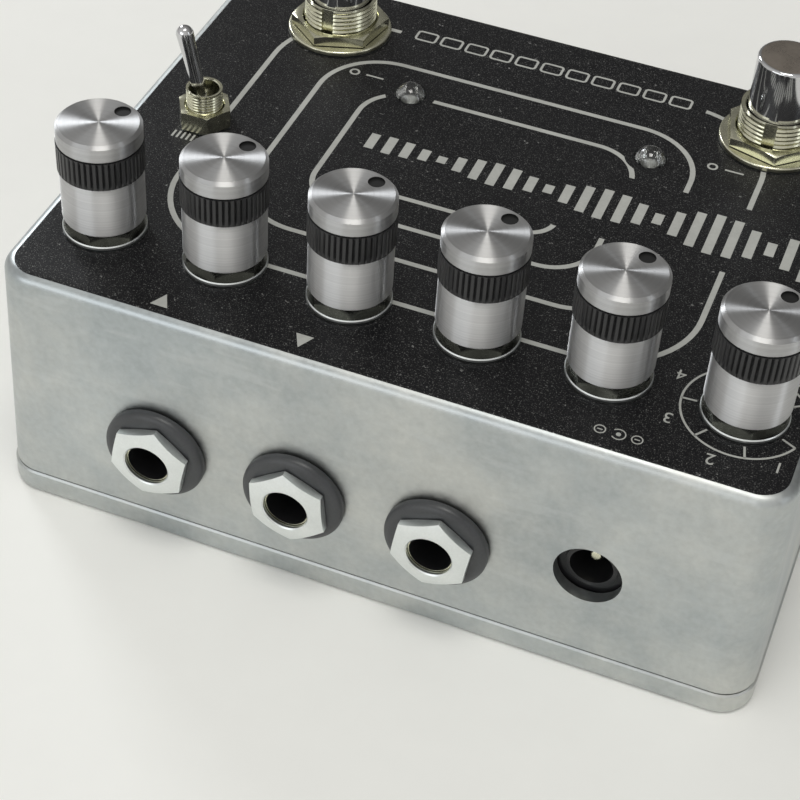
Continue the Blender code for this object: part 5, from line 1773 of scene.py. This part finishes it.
def new_room():
    world = bpy.data.worlds.new("room")
    world.use_nodes = True
    tree = world.node_tree
    way = tree.nodes.new("ShaderNodeTexCoord").outputs["Generated"]
    facing = node(tree, "ShaderNodeVectorMath", {0: way, 1: BRIGHT_SIDE}, operation="DOT_PRODUCT")
    share = spread(tree, facing.outputs["Value"], *DARK_TO_BRIGHT, DARK_SIDE_SHARE, 1.0)
    strength = math_node(tree, "MULTIPLY", share, studio().room)
    fill(tree, tree.nodes["Background"].inputs, {"Color": ROOM_COLOUR, "Strength": strength})
    return world


def new_camera():
    """The camera that took the photograph."""
    azimuth, elevation, roll = (
        math.radians(angle) for angle in (CAMERA_AZIMUTH_DEG, CAMERA_ELEVATION_DEG, CAMERA_ROLL_DEG)
    )
    level = math.cos(elevation)
    back = Vector((math.sin(azimuth) * level, -math.cos(azimuth) * level, math.sin(elevation)))
    right = (-back).cross(Vector((0.0, 0.0, 1.0))).normalized()
    up = right.cross(-back)
    across = math.cos(roll) * right + math.sin(roll) * up
    upward = math.cos(roll) * up - math.sin(roll) * right
    camera = bpy.data.cameras.new("camera")
    camera.sensor_width = SENSOR_WIDTH
    camera.lens = FOCAL_PIXELS * SENSOR_WIDTH / PHOTO_SIDE
    camera.shift_x = (PHOTO_SIDE / 2 - CENTRE_PIXELS[0]) / PHOTO_SIDE
    camera.shift_y = (CENTRE_PIXELS[1] - PHOTO_SIDE / 2) / PHOTO_SIDE
    camera.clip_start = 1.0 * MM
    item = loose_object("camera", camera)
    stand = Matrix((across, upward, back)).transposed().to_4x4()
    stand.translation = CAMERA_PLACE
    item.matrix_world = stand
    return item


PIECE_OPERATORS = (
    PEDAL_OT_case,
    PEDAL_OT_lid,
    PEDAL_OT_lid_screws,
    PEDAL_OT_panel,
    PEDAL_OT_dial,
    PEDAL_OT_marks,
    PEDAL_OT_pattern,
    PEDAL_OT_knobs,
    PEDAL_OT_knob_nuts,
    PEDAL_OT_jacks,
    PEDAL_OT_power_socket,
    PEDAL_OT_toggle,
    PEDAL_OT_footswitches,
    PEDAL_OT_lamps,
    PEDAL_OT_inner_parts,
    PEDAL_OT_stage,
)
SETTINGS = {"pedal_finish": PedalFinish, "pedal_detail": PedalDetail, "pedal_studio": PedalStudio}


class VIEW3D_PT_pedal(Panel):
    """Lists the pedal's pieces and its settings"""

    bl_label = "Delay Pedal"
    bl_space_type = "VIEW_3D"
    bl_region_type = "UI"
    bl_category = "Pedal"

    def draw(self, context):
        for name, group in SETTINGS.items():
            for key in group.__annotations__:
                self.layout.prop(getattr(context.scene, name), key)
        for operator in PIECE_OPERATORS:
            self.layout.operator(operator.bl_idname)


CLASSES = (*SETTINGS.values(), *PIECE_OPERATORS, VIEW3D_PT_pedal)


def register():
    for item in CLASSES:
        bpy.utils.register_class(item)
    for name, group in SETTINGS.items():
        setattr(bpy.types.Scene, name, PointerProperty(type=group))


def unregister():
    for name in SETTINGS:
        delattr(bpy.types.Scene, name)
    for item in reversed(CLASSES):
        bpy.utils.unregister_class(item)


def main():
    register()
    bpy.ops.pedal.case()
    bpy.ops.pedal.lid()
    bpy.ops.pedal.lid_screws()
    bpy.ops.pedal.panel()
    bpy.ops.pedal.dial()
    bpy.ops.pedal.marks()
    bpy.ops.pedal.pattern()
    bpy.ops.pedal.knobs()
    bpy.ops.pedal.knob_nuts()
    bpy.ops.pedal.jacks()
    bpy.ops.pedal.power_socket()
    bpy.ops.pedal.toggle()
    bpy.ops.pedal.footswitches()
    bpy.ops.pedal.lamps()
    bpy.ops.pedal.inner_parts()
    bpy.ops.pedal.stage()


if __name__ == "__main__":
    main()
